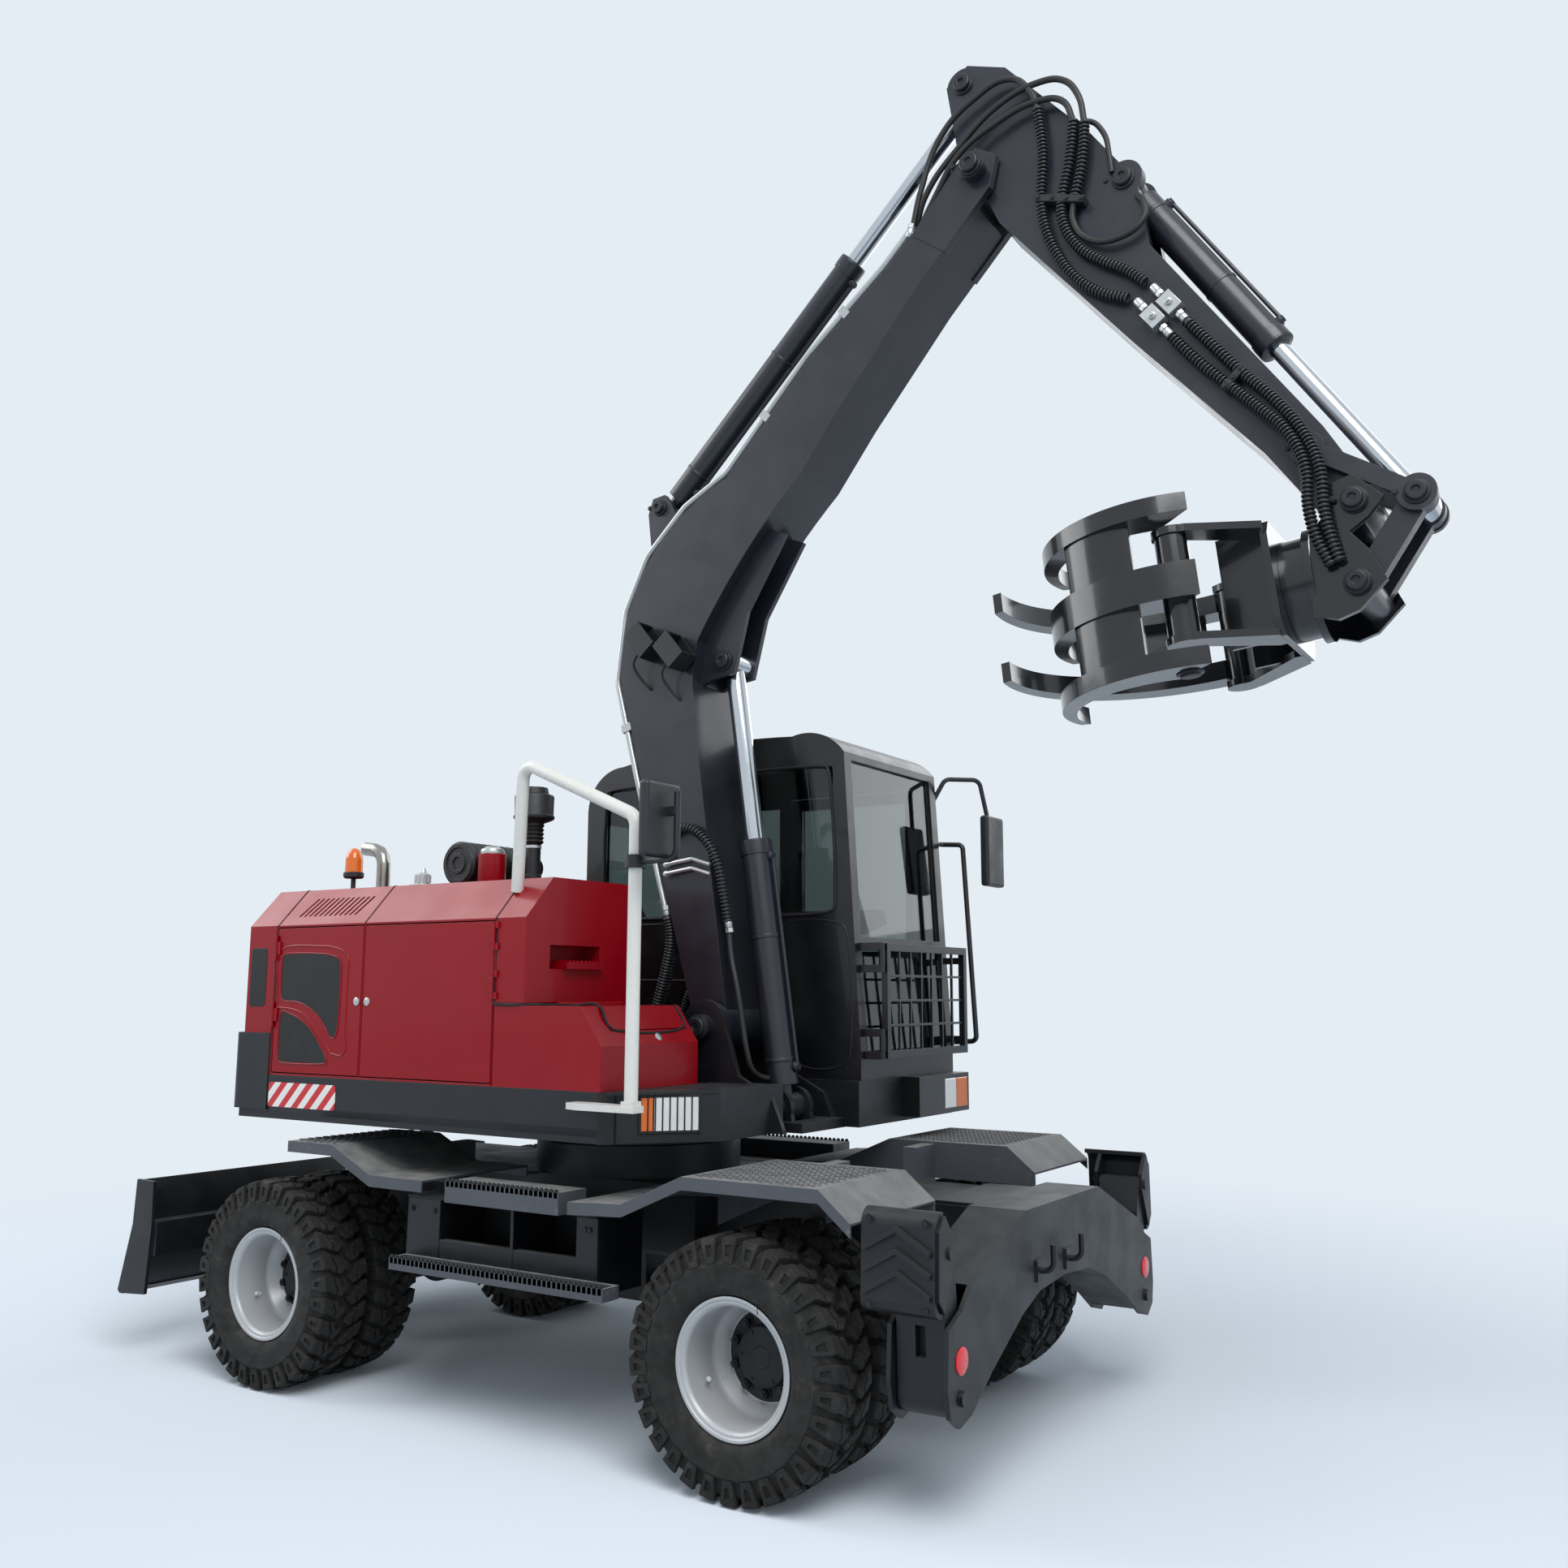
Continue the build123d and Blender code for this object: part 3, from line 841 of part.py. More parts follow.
# side outline, up the back and down the front; arcs round the elbow
boom_path = [
    (457, 1601), (161, 2624), (43, 3060), ("arc", (82, 3353), (195, 3592)), ("arc", (398, 3785), (617, 3895)),
    (1039, 4335), (1417, 4634), (1578, 4791), (1742, 4996), (1889, 4859), (1767, 4730), (1561, 4516), (1191, 4082),
    (1002, 3836), ("arc", (683, 3492), (467, 3181)), (443, 2998), (493, 2582), (638, 1591),
]


def save_arm(node, *solids):
    """Pieces of the front linkage are drawn about its middle plane."""
    save(node, *[Pos(0, BOOM_Y, 0) * solid for solid in solids])


def tilted(solid):
    """A piece of the grapple, turned down about the flange's middle."""
    turned = Pos(-FLANGE_X, 0, -GRAPPLE_Z) * solid
    return Pos(FLANGE_X, 0, GRAPPLE_Z) * (Rot(0, -GRAPPLE_TILT, 0) * turned)


def mirrored_pair(inner, outer):
    """The two (y0, y1) spans between |y| inner and outer."""
    return ((inner, outer), (-outer, -inner))


boom = curved_side(boom_path, -BOOM_HALF_W, BOOM_HALF_W)
boom = boom + bar_y(foot_x, foot_z, 100, -FOOT_HALF_W, FOOT_HALF_W)
head_x, head_z = BOOM_HEAD
boom = boom - block(1600, 2100, -FORK_IN, FORK_IN, 4790, 5300)
for y0, y1 in mirrored_pair(FORK_IN, FORK_OUT):
    cheek = side_plate([(1546, 4741), (1644, 4859), (head_x - 90, head_z + 50), (head_x, head_z + 100),
                        (head_x + 90, head_z + 40), (head_x + 60, head_z - 90), (1683, 4633)], y0, y1)
    boom = boom + cheek
for y0, y1 in mirrored_pair(FORK_OUT - 2, FORK_OUT + 50):
    boom = boom + bar_y(head_x, head_z, 56, y0, y1)
# ears under the elbow for the lift cylinder's rod, and behind it for the stick cylinder's foot
top_x, top_z = BOOM_CYL_TOP
base_x, base_z = STICK_CYL_BASE
for y0, y1 in mirrored_pair(BOOM_EYE_W / 2 + PIN_GAP, BOOM_EYE_W / 2 + 26):
    boom = boom + side_plate([(398, 2975), (top_x - 60, top_z - 75), (top_x + 55, top_z - 60), (top_x + 75, top_z + 20),
                              (683, 3299), (879, 3613), (761, 3662), (447, 3269)], y0, y1)
for y0, y1 in mirrored_pair(STICK_EYE_W / 2 + PIN_GAP, STICK_EYE_W / 2 + 26):
    boom = boom + side_plate([(163, 3505), (base_x - 65, base_z - 20), (base_x - 40, base_z + 50),
                              (base_x + 28, base_z + 58), (base_x + 66, base_z + 10), (base_x + 100, base_z - 60),
                              (486, 3838), (369, 3662)], y0, y1)
save_arm("boom", boom)

barrel, rod = cylinder_pair(BOOM_CYL_LOW, BOOM_CYL_TOP, 58, BOOM_EYE_W, 66, 42, 1115, 400)
save_arm("boom_barrel", barrel)
save_arm("boom_rod", rod)

# steel pipes along the boom's back, held by clamps
PIPE_R = 14.0
PIPE_LIFT = 34.0
PIPE_BEND = 120.0
PIPE_ROWS = [-135, -103, 103, 135]
pipe_line = [(309, 1991), (128, 2615), (9, 3051), (46, 3373), (166, 3617), (377, 3814), (598, 3925), (1016, 4360),
             (1396, 4661), (1535, 4796)]
# clamps: (x, z) of the line's point and the line's direction there
CLAMPS = [(182, 2429, -0.279, 0.960), (68, 2833, -0.263, 0.965), (807, 4142, 0.693, 0.721), (1206, 4511, 0.784, 0.621)]


def clamp_bar(x, z, run_x, run_z, y0, y1):
    """A bar across the pipes, from the plate's skin to just over them."""
    up_x, up_z = -run_z, run_x
    corners = []
    for along, lift in ((-18, SEAT_GAP - PIPE_LIFT), (18, SEAT_GAP - PIPE_LIFT), (18, 19), (-18, 19)):
        corners.append((x + run_x * along + up_x * lift, z + run_z * along + up_z * lift))
    return side_plate(corners, y0, y1)


fittings = []
for y0, y1, rows in ((-152, -86, PIPE_ROWS[:2]), (86, 152, PIPE_ROWS[2:])):
    bank = [pipe([(x, y, z) for x, z in pipe_line], PIPE_R, PIPE_BEND) for y in rows]
    bank += [clamp_bar(x, z, run_x, run_z, y0, y1) for x, z, run_x, run_z in CLAMPS]
    fittings.append(fused(bank))
# two hooded work lamps on the boom's right side, one over the other: (x, z) of their middles
LAMPS = [(236, 3192), (396, 3128)]
LAMP_ALONG, LAMP_ACROSS = (0.766, 0.643), (0.643, -0.766)
LAMP_Y0, LAMP_Y1 = -BOOM_HALF_W - 122, -BOOM_HALF_W - 12


def lamp_outline(centre, back, front, half):
    """Corners of a lamp in the side view, from its back to its front."""
    corners = []
    for along, across in ((back, -half), (front, -half), (front, half), (back, half)):
        corners.append((centre[0] + LAMP_ALONG[0] * along + LAMP_ACROSS[0] * across,
                        centre[1] + LAMP_ALONG[1] * along + LAMP_ACROSS[1] * across))
    return corners


lamp = side_plate([(180, 3130), (250, 3215), (420, 3140), (380, 3060)], -BOOM_HALF_W - 14, -BOOM_HALF_W - SEAT_GAP)
for centre in LAMPS:
    lamp = lamp + side_plate(lamp_outline(centre, -48, 48, 70), LAMP_Y0, LAMP_Y1)
    lamp = lamp - side_plate(lamp_outline(centre, -12, 60, 60), LAMP_Y0 + 9, LAMP_Y1 - 9)
save_arm("boom_fittings", lamp, *fittings)

# ---------------------------------------------------------------- stick
lug_x, lug_z = STICK_LUG
end_x, end_z = STICK_END
rock_x, rock_z = ROCKER_PIN
base2_x, base2_z = TOOL_CYL_BASE
TOOL_EYE_W = 130.0
ROCKER_IN, ROCKER_OUT = 124.0, 148.0
EAR_Y0, EAR_Y1 = 156.0, 184.0
stick_outline = [
    (head_x - 70, head_z - 40), (lug_x - 75, lug_z + 10), (lug_x + 20, lug_z + 78), (1949, 5374), (2293, 4962),
    (2470, 4702), (2508, 4430), (3080, 3583), (3238, 3299), (3194, 3215), (3096, 3215), (2885, 3526), (2440, 4052),
    (1909, 4708), (head_x + 20, head_z - 95),
]
stick = side_plate(stick_outline, -STICK_HALF_W, STICK_HALF_W)
stick = stick + bar_y(head_x, head_z, 95, -STICK_HALF_W, STICK_HALF_W)
stick = stick + bar_y(head_x, head_z, 70, -FORK_IN + PIN_GAP, FORK_IN - PIN_GAP)
stick = stick + bar_y(end_x, end_z, 60, -EAR_Y0 + PIN_GAP, EAR_Y0 - PIN_GAP)
stick = stick + bar_y(rock_x, rock_z, 40, -ROCKER_IN + PIN_GAP, ROCKER_IN - PIN_GAP)
stick = stick + bar_y(lug_x, lug_z, 72, -STICK_HALF_W, STICK_HALF_W) + bar_y(base2_x, base2_z, 72, -STICK_HALF_W, STICK_HALF_W)
# mouths for the stick cylinder's rod eye and the tool cylinder's foot, with a channel for its barrel
stick_mouth = STICK_EYE_W / 2 + PIN_GAP
tool_mouth = TOOL_EYE_W / 2 + PIN_GAP
stick = stick - side_plate([(1500, 5160), (1720, 5190), (1900, 5240), (2000, 5480), (1742, 5560), (1500, 5500)],
                           -stick_mouth, stick_mouth)
stick = stick - side_plate([(2333, 4790), (2340, 4700), (2374, 4640), (2386, 4560), (2446, 4392), (2588, 4172),
                            (2700, 4250), (2700, 4937), (2380, 4937)], -tool_mouth, tool_mouth)
save_arm("stick", stick)

barrel, rod = cylinder_pair(STICK_CYL_BASE, STICK_LUG, 52, STICK_EYE_W, 58, 36, 1372, 520)
save_arm("stick_barrel", barrel)
save_arm("stick_rod", rod)
barrel, rod = cylinder_pair(TOOL_CYL_BASE, LINK_PIN, 52, TOOL_EYE_W, 60, 34, 921, 320)
save_arm("tool_barrel", barrel)
save_arm("tool_rod", rod)

# ---------------------------------------------------------------- tool linkage
link_x, link_z = LINK_PIN
brk_x, brk_z = BRACKET_PIN
LINK_IN = TOOL_EYE_W / 2 + PIN_GAP


def link_bar(p, q, half_w, y0, y1):
    """A flat bar between two pins."""
    run = Vector(q[0] - p[0], 0, q[1] - p[1]).normalized()
    nx, nz = -run.Z * half_w, run.X * half_w
    return side_plate([(p[0] + nx, p[1] + nz), (q[0] + nx, q[1] + nz), (q[0] - nx, q[1] - nz),
                       (p[0] - nx, p[1] - nz)], y0, y1)


rockers = []
for y0, y1 in mirrored_pair(ROCKER_IN, ROCKER_OUT):
    rockers.append(link_bar(ROCKER_PIN, LINK_PIN, 30, y0, y1) + bar_y(rock_x, rock_z, 58, y0, y1)
                   + bar_y(link_x, link_z, 62, y0, y1))
save_arm("rocker", *rockers)

link = bar_y(brk_x, brk_z, 54, -EAR_Y0 + PIN_GAP, EAR_Y0 - PIN_GAP)
for y0, y1 in mirrored_pair(LINK_IN, ROCKER_IN - PIN_GAP):
    link = link + bar_y(link_x, link_z, 58, y0, y1) + link_bar(LINK_PIN, BRACKET_PIN, 44, y0, y1)
save_arm("push_link", link)

# ---------------------------------------------------------------- grapple bracket and rotator
ears = []
for y0, y1 in mirrored_pair(EAR_Y0, EAR_Y1):
    ear = side_plate([(3028, 2906), (3106, 2882), (brk_x, brk_z - 92), (brk_x + 90, brk_z), (brk_x + 40, 3105),
                      (end_x - 20, 3175), (end_x + 40, 3215), (end_x + 92, end_z), (end_x, end_z + 92),
                      (end_x - 80, 3345), (3077, 3240), (3028, 3190)], y0, y1)
    ears.append(ear)
for y0, y1 in mirrored_pair(EAR_Y1 - 2, EAR_Y1 + 16):
    ears += [bar_y(end_x, end_z, 44, y0, y1), bar_y(brk_x, brk_z, 44, y0, y1)]
HEAD_X1 = 3034.0
head = bar_x(0, GRAPPLE_Z, 202, FLANGE_X + 98, HEAD_X1) + bar_x(0, GRAPPLE_Z, 180, FLANGE_X + 16, FLANGE_X + 102)
save_arm("grapple_bracket", fused([tilted(head)] + ears))

# ---------------------------------------------------------------- grapple frame
FLANGE_HALF = 265.0
FLANGE_CORNER = 215.0
flange_outline = [(-FLANGE_HALF, -148), (-FLANGE_HALF, 148), (-FLANGE_CORNER, 202), (FLANGE_CORNER, 202),
                  (FLANGE_HALF, 148), (FLANGE_HALF, -148), (FLANGE_CORNER, -202), (-FLANGE_CORNER, -202)]
grapple = cross_plate([(y, GRAPPLE_Z + z) for y, z in flange_outline], FLANGE_X - 8, FLANGE_X + 16 - RUNNING_GAP)
ARM_Z0, ARM_Z1 = 177.0, 203.0
# outline of the left one of each level's two arms: (x, y)
arm_outline = [(FLANGE_X, 236), (JAW_PIN_X + 60, JAW_PIN_Y + 38), (JAW_PIN_X - 20, JAW_PIN_Y + 58),
               (JAW_PIN_X - 60, JAW_PIN_Y + 16), (JAW_PIN_X - 52, JAW_PIN_Y - 44), (JAW_PIN_X + 40, JAW_PIN_Y - 62),
               (FLANGE_X - 30, 104), (FLANGE_X, 104)]
for z0, z1 in ((GRAPPLE_Z + ARM_Z0, GRAPPLE_Z + ARM_Z1), (GRAPPLE_Z - ARM_Z1, GRAPPLE_Z - ARM_Z0)):
    for side in (1, -1):
        grapple = grapple + flat_plate([(x, side * y) for x, y in arm_outline], z0, z1)
        grapple = grapple + bar_z(JAW_PIN_X, side * JAW_PIN_Y, 62, z0, z1)
for y0, y1 in mirrored_pair(147, 167):
    grapple = grapple + block(JAW_PIN_X + 98, FLANGE_X, y0, y1, GRAPPLE_Z - ARM_Z1 + 5, GRAPPLE_Z + ARM_Z1 - 5)
save_arm("grapple_frame", tilted(grapple))

# ---------------------------------------------------------------- grapple jaws
# tine levels over the rotator's axis: (low, high)
NEAR_TINES = [(236, 300), (-61, 61), (-300, -236)]
FAR_TINES = [(96, 168), (-168, -96)]
# edges of a tine from above, (x, |y|) at its root, middle and tip
NEAR_OUTER = [(2723, 441), (2360, 461), (2103, -20)]
NEAR_INNER = [(2586, 324), (2370, 343), (2135, -39)]
FAR_OUTER = [(2723, 441), (2213, 324), (1953, -324)]
FAR_INNER = [(2586, 324), (2262, 235), (1988, -329)]
HUB_R2 = 54.0


def jaw_face(side, outer, inner):
    """Outline of a curved piece from above, between its outer and inner edges."""
    return [
        (outer[0][0], side * outer[0][1]),
        ("arc", (outer[1][0], side * outer[1][1]), (outer[2][0], side * outer[2][1])),
        (inner[2][0], side * inner[2][1]),
        ("arc", (inner[1][0], side * inner[1][1]), (inner[0][0], side * inner[0][1])),
    ]


def jaw(side, tines, outer, inner, wall_outer, wall_inner, wall_half):
    """One jaw: its tines, the wall that joins them and the hub on its pin."""
    pieces = []
    for low, high in tines:
        pieces.append(curved_flat(jaw_face(side, outer, inner), GRAPPLE_Z + low, GRAPPLE_Z + high))
    hub_half = ARM_Z0 - PIN_GAP
    pieces.append(bar_z(JAW_PIN_X, side * JAW_PIN_Y, HUB_R2, GRAPPLE_Z - hub_half, GRAPPLE_Z + hub_half))
    pieces.append(curved_flat(jaw_face(side, wall_outer, wall_inner), GRAPPLE_Z - wall_half, GRAPPLE_Z + wall_half))
    return fused(pieces)


near = jaw(-1, NEAR_TINES, NEAR_OUTER, NEAR_INNER, [(2520, 458), (2400, 462), (2270, 396)],
           [(2520, 440), (2400, 444), (2282, 384)], 296)
save_arm("jaw_right", tilted(near))
far = jaw(1, FAR_TINES, FAR_OUTER, FAR_INNER, [(2520, 425), (2400, 398), (2290, 355)],
          [(2520, 407), (2408, 382), (2300, 340)], 166)
save_arm("jaw_left", tilted(far))
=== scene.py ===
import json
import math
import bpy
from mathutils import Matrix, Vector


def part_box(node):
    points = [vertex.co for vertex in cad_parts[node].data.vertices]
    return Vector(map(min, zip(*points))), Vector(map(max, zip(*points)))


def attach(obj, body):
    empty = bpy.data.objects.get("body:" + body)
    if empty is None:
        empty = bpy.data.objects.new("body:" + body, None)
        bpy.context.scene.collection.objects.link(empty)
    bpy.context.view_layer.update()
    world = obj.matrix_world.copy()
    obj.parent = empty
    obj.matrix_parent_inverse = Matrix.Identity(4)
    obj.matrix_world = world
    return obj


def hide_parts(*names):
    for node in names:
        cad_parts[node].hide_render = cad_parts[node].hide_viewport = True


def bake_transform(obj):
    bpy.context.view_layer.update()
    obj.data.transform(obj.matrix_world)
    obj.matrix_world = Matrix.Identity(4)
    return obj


bl_info = {
    "name": "Wheeled excavator with a wood grapple",
    "version": (1, 0, 0),
    "blender": (4, 5, 0),
    "location": "View3D > Sidebar > Excavator",
    "description": "Dresses a nine-tonne wheeled excavator with its tyres, hoses, lamps and finishes",
    "category": "Object",
}

import bmesh
import bpy
from mathutils import Matrix, Vector

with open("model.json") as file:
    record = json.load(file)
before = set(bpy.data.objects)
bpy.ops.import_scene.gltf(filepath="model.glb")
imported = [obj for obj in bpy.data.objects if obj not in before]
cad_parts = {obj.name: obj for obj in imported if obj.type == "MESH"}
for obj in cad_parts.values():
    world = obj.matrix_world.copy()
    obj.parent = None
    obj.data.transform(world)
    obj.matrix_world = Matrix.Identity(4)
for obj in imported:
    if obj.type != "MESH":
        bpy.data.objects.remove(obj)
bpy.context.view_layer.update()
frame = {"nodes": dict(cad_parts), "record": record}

BOOM_Y = -0.092          # the linkage's middle plane
LEFT, RIGHT = 1, -1
SIDES = (("left", LEFT), ("right", RIGHT))
FINISH, TREES = {}, {}   # filled by the finishes operator


def around(count, start=0.0):
    """Angles at equal steps round a circle; start is a share of one step."""
    return [2 * math.pi * (k + start) / count for k in range(count)]


# ---------------------------------------------------------------- nodes and finishes
def linear(hex_colour):
    """The linear colour of an sRGB hex value."""
    made = []
    for k in (1, 3, 5):
        c = int(hex_colour[k:k + 2], 16) / 255
        made.append(c / 12.92 if c <= 0.04045 else ((c + 0.055) / 1.055) ** 2.4)
    return (*made, 1.0)


def add(tree, kind, links=None, **settings):
    """A node of that kind with its settings; links sets each input to a value or joins it to a socket."""
    made = tree.nodes.new(kind)
    for name, value in settings.items():
        setattr(made, name, value)
    for place, value in (links or {}).items():
        target = made.inputs[place]
        if isinstance(value, bpy.types.NodeSocket):
            tree.links.new(value, target)
        else:
            target.default_value = value
    return made


def maths(tree, operation, *values, **settings):
    """The result of a math node on those values."""
    return add(tree, "ShaderNodeMath", dict(enumerate(values)), operation=operation, **settings).outputs[0]


def blank_material(name):
    """A new material with its empty tree and the piece's own coordinates."""
    made = bpy.data.materials.new(name)
    made.use_nodes = True
    tree = made.node_tree
    tree.nodes.clear()
    return made, tree, add(tree, "ShaderNodeTexCoord").outputs["Object"]


def show(tree, shader):
    """Sends a shader to the surface of its material."""
    add(tree, "ShaderNodeOutputMaterial", {"Surface": shader.outputs[0]})


def grain(tree, place, size, detail=3.0, rough=0.55):
    """Noise whose blotches are that many metres across, on the piece's own coordinates."""
    return add(tree, "ShaderNodeTexNoise",
               {"Vector": place, "Scale": 1 / size, "Detail": detail, "Roughness": rough}).outputs["Fac"]


def spread(tree, value, low, high, to_low=0.0, to_high=1.0):
    return add(tree, "ShaderNodeMapRange",
               {"Value": value, "From Min": low, "From Max": high, "To Min": to_low, "To Max": to_high},
               interpolation_type="SMOOTHSTEP").outputs["Result"]


# A ShaderNodeMix has sockets of the same name for each type, so the colour ones are found by their index.
COLOUR_FACTOR, COLOUR_A, COLOUR_B, COLOUR_OUT = 0, 6, 7, 2


def mixed(tree, factor, a, b, blend="MIX"):
    """Colour a turned to colour b by the factor."""
    made = add(tree, "ShaderNodeMix", {COLOUR_FACTOR: factor, COLOUR_A: a, COLOUR_B: b},
               data_type="RGBA", blend_type=blend)
    return made.outputs[COLOUR_OUT]


def surface(name, colour, roughness, metal=0.0, mottle=0.08, blotch=0.35, dust=None, dust_share=0.35,
            peel=None, peel_height=0.0, coat=0.0, edge=0.0025, ior=1.5, wear=None):
    """A finish built up in layers: base colour with mottling, dust on what faces up, fine relief and soft edges."""
    made, tree, place = blank_material(name)
    base = linear(colour)
    dark = tuple(c * (1 - mottle) for c in base[:3]) + (1.0,)
    light = tuple(min(1.0, c * (1 + mottle)) for c in base[:3]) + (1.0,)
    broad = grain(tree, place, blotch)
    tone = mixed(tree, spread(tree, broad, 0.3, 0.7), dark, light)
    rough = spread(tree, grain(tree, place, blotch * 0.4), 0.3, 0.7, roughness * 0.85, min(1.0, roughness * 1.15))
    if dust:
        up = add(tree, "ShaderNodeSeparateXYZ", {"Vector": add(tree, "ShaderNodeNewGeometry").outputs["Normal"]})
        lying = spread(tree, up.outputs["Z"], 0.35, 0.95)
        patchy = spread(tree, grain(tree, place, 0.09, 5.0), 0.25, 0.75, 0.3, 1.0)
        share = maths(tree, "MULTIPLY", lying, patchy)
        share = maths(tree, "MULTIPLY", share, dust_share)
        tone = mixed(tree, share, tone, linear(dust))
        rough = maths(tree, "ADD", rough, share, use_clamp=True)
    if wear:
        hex_wear, low, high, size = wear
        worn = spread(tree, grain(tree, place, size, 6.0, 0.7), low, high)
        tone = mixed(tree, worn, tone, linear(hex_wear))
    settings = {"Base Color": tone, "Roughness": rough, "Metallic": metal, "IOR": ior, "Coat Weight": coat,
                "Coat Roughness": 0.06}
    normal = None
    if edge:
        normal = add(tree, "ShaderNodeBevel", {"Radius": edge}, samples=4).outputs["Normal"]
    if peel:
        links = {"Height": grain(tree, place, peel, 2.0), "Strength": 1.0, "Distance": peel_height}
        if normal:
            links["Normal"] = normal
        normal = add(tree, "ShaderNodeBump", links).outputs["Normal"]
    if normal:
        settings["Normal"] = normal
    shader = add(tree, "ShaderNodeBsdfPrincipled", settings)
    show(tree, shader)
    return made


def clear_glass(name, colour):
    """Toughened flat glass, faintly grey-green: a clean pane gives a sharp reflection."""
    made, tree, place = blank_material(name)
    smear = spread(tree, grain(tree, place, 0.25), 0.45, 0.8, 0.01, 0.08)
    shader = add(tree, "ShaderNodeBsdfPrincipled",
                 {"Base Color": linear(colour), "Roughness": smear, "IOR": 1.5, "Transmission Weight": 1.0})
    show(tree, shader)
    return made


def striped(name, colour_a, colour_b, width, slope):
    """Reflective tape in two colours of slanted stripes, laid in the side view."""
    made, tree, place = blank_material(name)
    split = add(tree, "ShaderNodeSeparateXYZ", {"Vector": place})
    lean = maths(tree, "MULTIPLY_ADD", split.outputs["Z"], slope, split.outputs["X"])
    phase = maths(tree, "FLOORED_MODULO", lean, width * 2)
    half = maths(tree, "GREATER_THAN", phase, width)
    shader = add(tree, "ShaderNodeBsdfPrincipled",
                 {"Base Color": mixed(tree, half, linear(colour_a), linear(colour_b)), "Roughness": 0.35})
    show(tree, shader)
    return made


def make_finishes(colours):
    """Every finish of the machine by its slot."""
    made = {}
    # Satin two-pack polyurethane on shot-blasted steel: soft highlights, a little dust on level faces.
    made["arm_paint"] = surface("satin_charcoal_arm_enamel", colours.arm, 0.36, dust="#8d8f94", dust_share=0.18,
                                peel=0.012, peel_height=0.0002, coat=0.15)
    made["frame_paint"] = surface("satin_dark_chassis_enamel", colours.frame, 0.42, dust="#7a7a78", dust_share=0.15,
                                  peel=0.012, peel_height=0.0002)
    # Gloss baked enamel on thin pressed sheet: sharp highlights over slow waves.
    made["hood_paint"] = surface("gloss_deep_red_enamel", colours.hood, 0.32, mottle=0.04, blotch=0.6, coat=0.15,
                                 ior=1.35, dust="#a86a70", dust_share=0.05, peel=0.2, peel_height=0.0006)
    made["black_paint"] = surface("satin_black_enamel", "#0e0f12", 0.34, dust="#6d6f73", dust_share=0.15, coat=0.2)
    made["grapple_gloss"] = surface("gloss_black_grapple_enamel", "#0d0e12", 0.2, dust="#6d6f73", dust_share=0.08,
                                    peel=0.03, peel_height=0.0003, coat=0.4)
    made["rail_white"] = surface("gloss_off_white_enamel", "#d9d8d2", 0.3, mottle=0.03)
    made["rim_silver"] = surface("silver_wheel_lacquer", "#b9bbbd", 0.38, metal=0.2, mottle=0.06,
                                 wear=("#6c655c", 0.62, 0.85, 0.03))
    # Tread plate, painted and walked on: the raised bars wear bright.
    made["chequer_plate"] = surface("painted_tread_plate", "#4a4d53", 0.48, dust="#a7a59f", dust_share=0.55,
                                    wear=("#7d7f82", 0.58, 0.8, 0.05))
    made["cast_dark"] = surface("painted_iron_casting", "#1d1e21", 0.6, peel=0.01, peel_height=0.0008)
    made["rod_chrome"] = surface("hard_chrome_plate", "#c8ccd1", 0.12, metal=1.0, mottle=0.02, edge=0.0)
    made["pipe_steel"] = surface("zinc_plated_steel_tube", "#b4b7b8", 0.3, metal=0.6, mottle=0.06, edge=0.0)
    made["black_mesh"] = surface("black_coated_mesh", "#0b0c0d", 0.55)
    made["black_plastic"] = surface("moulded_black_nylon", "#141517", 0.5, peel=0.004, peel_height=0.0002)
    made["mirror_black"] = surface("moulded_black_abs", "#1b1d20", 0.45, peel=0.004, peel_height=0.0002)
    made["seat_plastic"] = surface("grained_black_vinyl", "#1c1d21", 0.65, peel=0.006, peel_height=0.0005)
    made["cab_glass"] = clear_glass("toughened_pane", "#87918f")
    made["tyre_rubber"] = surface("moulded_tyre_rubber", colours.rubber, 0.78, mottle=0.15, blotch=0.12,
                                  dust="#5b554d", dust_share=0.12, peel=0.006, peel_height=0.0005,
                                  wear=("#4a453f", 0.5, 0.85, 0.08), edge=0.002)
    # Hose cover of black synthetic rubber, and the stiff plastic coil that guards it.
    made["hose_rubber"] = surface("braided_hose_cover", "#131416", 0.55, edge=0.0)
    made["guard_coil"] = surface("hose_guard_coil", "#26272a", 0.34, edge=0.0)
    made["fitting_zinc"] = surface("zinc_plated_fitting", "#c3c6c6", 0.3, metal=0.7, edge=0.0)
    made["bolt_dark"] = surface("blackened_bolt", "#26272b", 0.4, metal=0.4, edge=0.0)
    made["amber_lens"] = surface("moulded_amber_acrylic", "#e06a08", 0.15, coat=0.6, edge=0.0)
    made["clear_lens"] = surface("moulded_clear_lens", "#dfe2e0", 0.12, coat=0.6, edge=0.0)
    made["red_reflector"] = surface("moulded_red_reflector", "#e2202a", 0.25, coat=0.5, edge=0.0)
    made["seal_rubber"] = surface("black_rubber_seal", "#0a0a0b", 0.7, edge=0.0)
    made["exhaust_steel"] = surface("stainless_tube", "#9d9a94", 0.25, metal=0.9, mottle=0.1, edge=0.0)
    made["stripe_tape"] = striped("red_and_white_reflective_tape", "#e9e6e2", "#c92a31", 0.042, -0.95)
    return made


# ---------------------------------------------------------------- meshes
def placed(name, data):
    """A new object in the scene."""
    made = bpy.data.objects.new(name, data)
    bpy.context.scene.collection.objects.link(made)
    return made


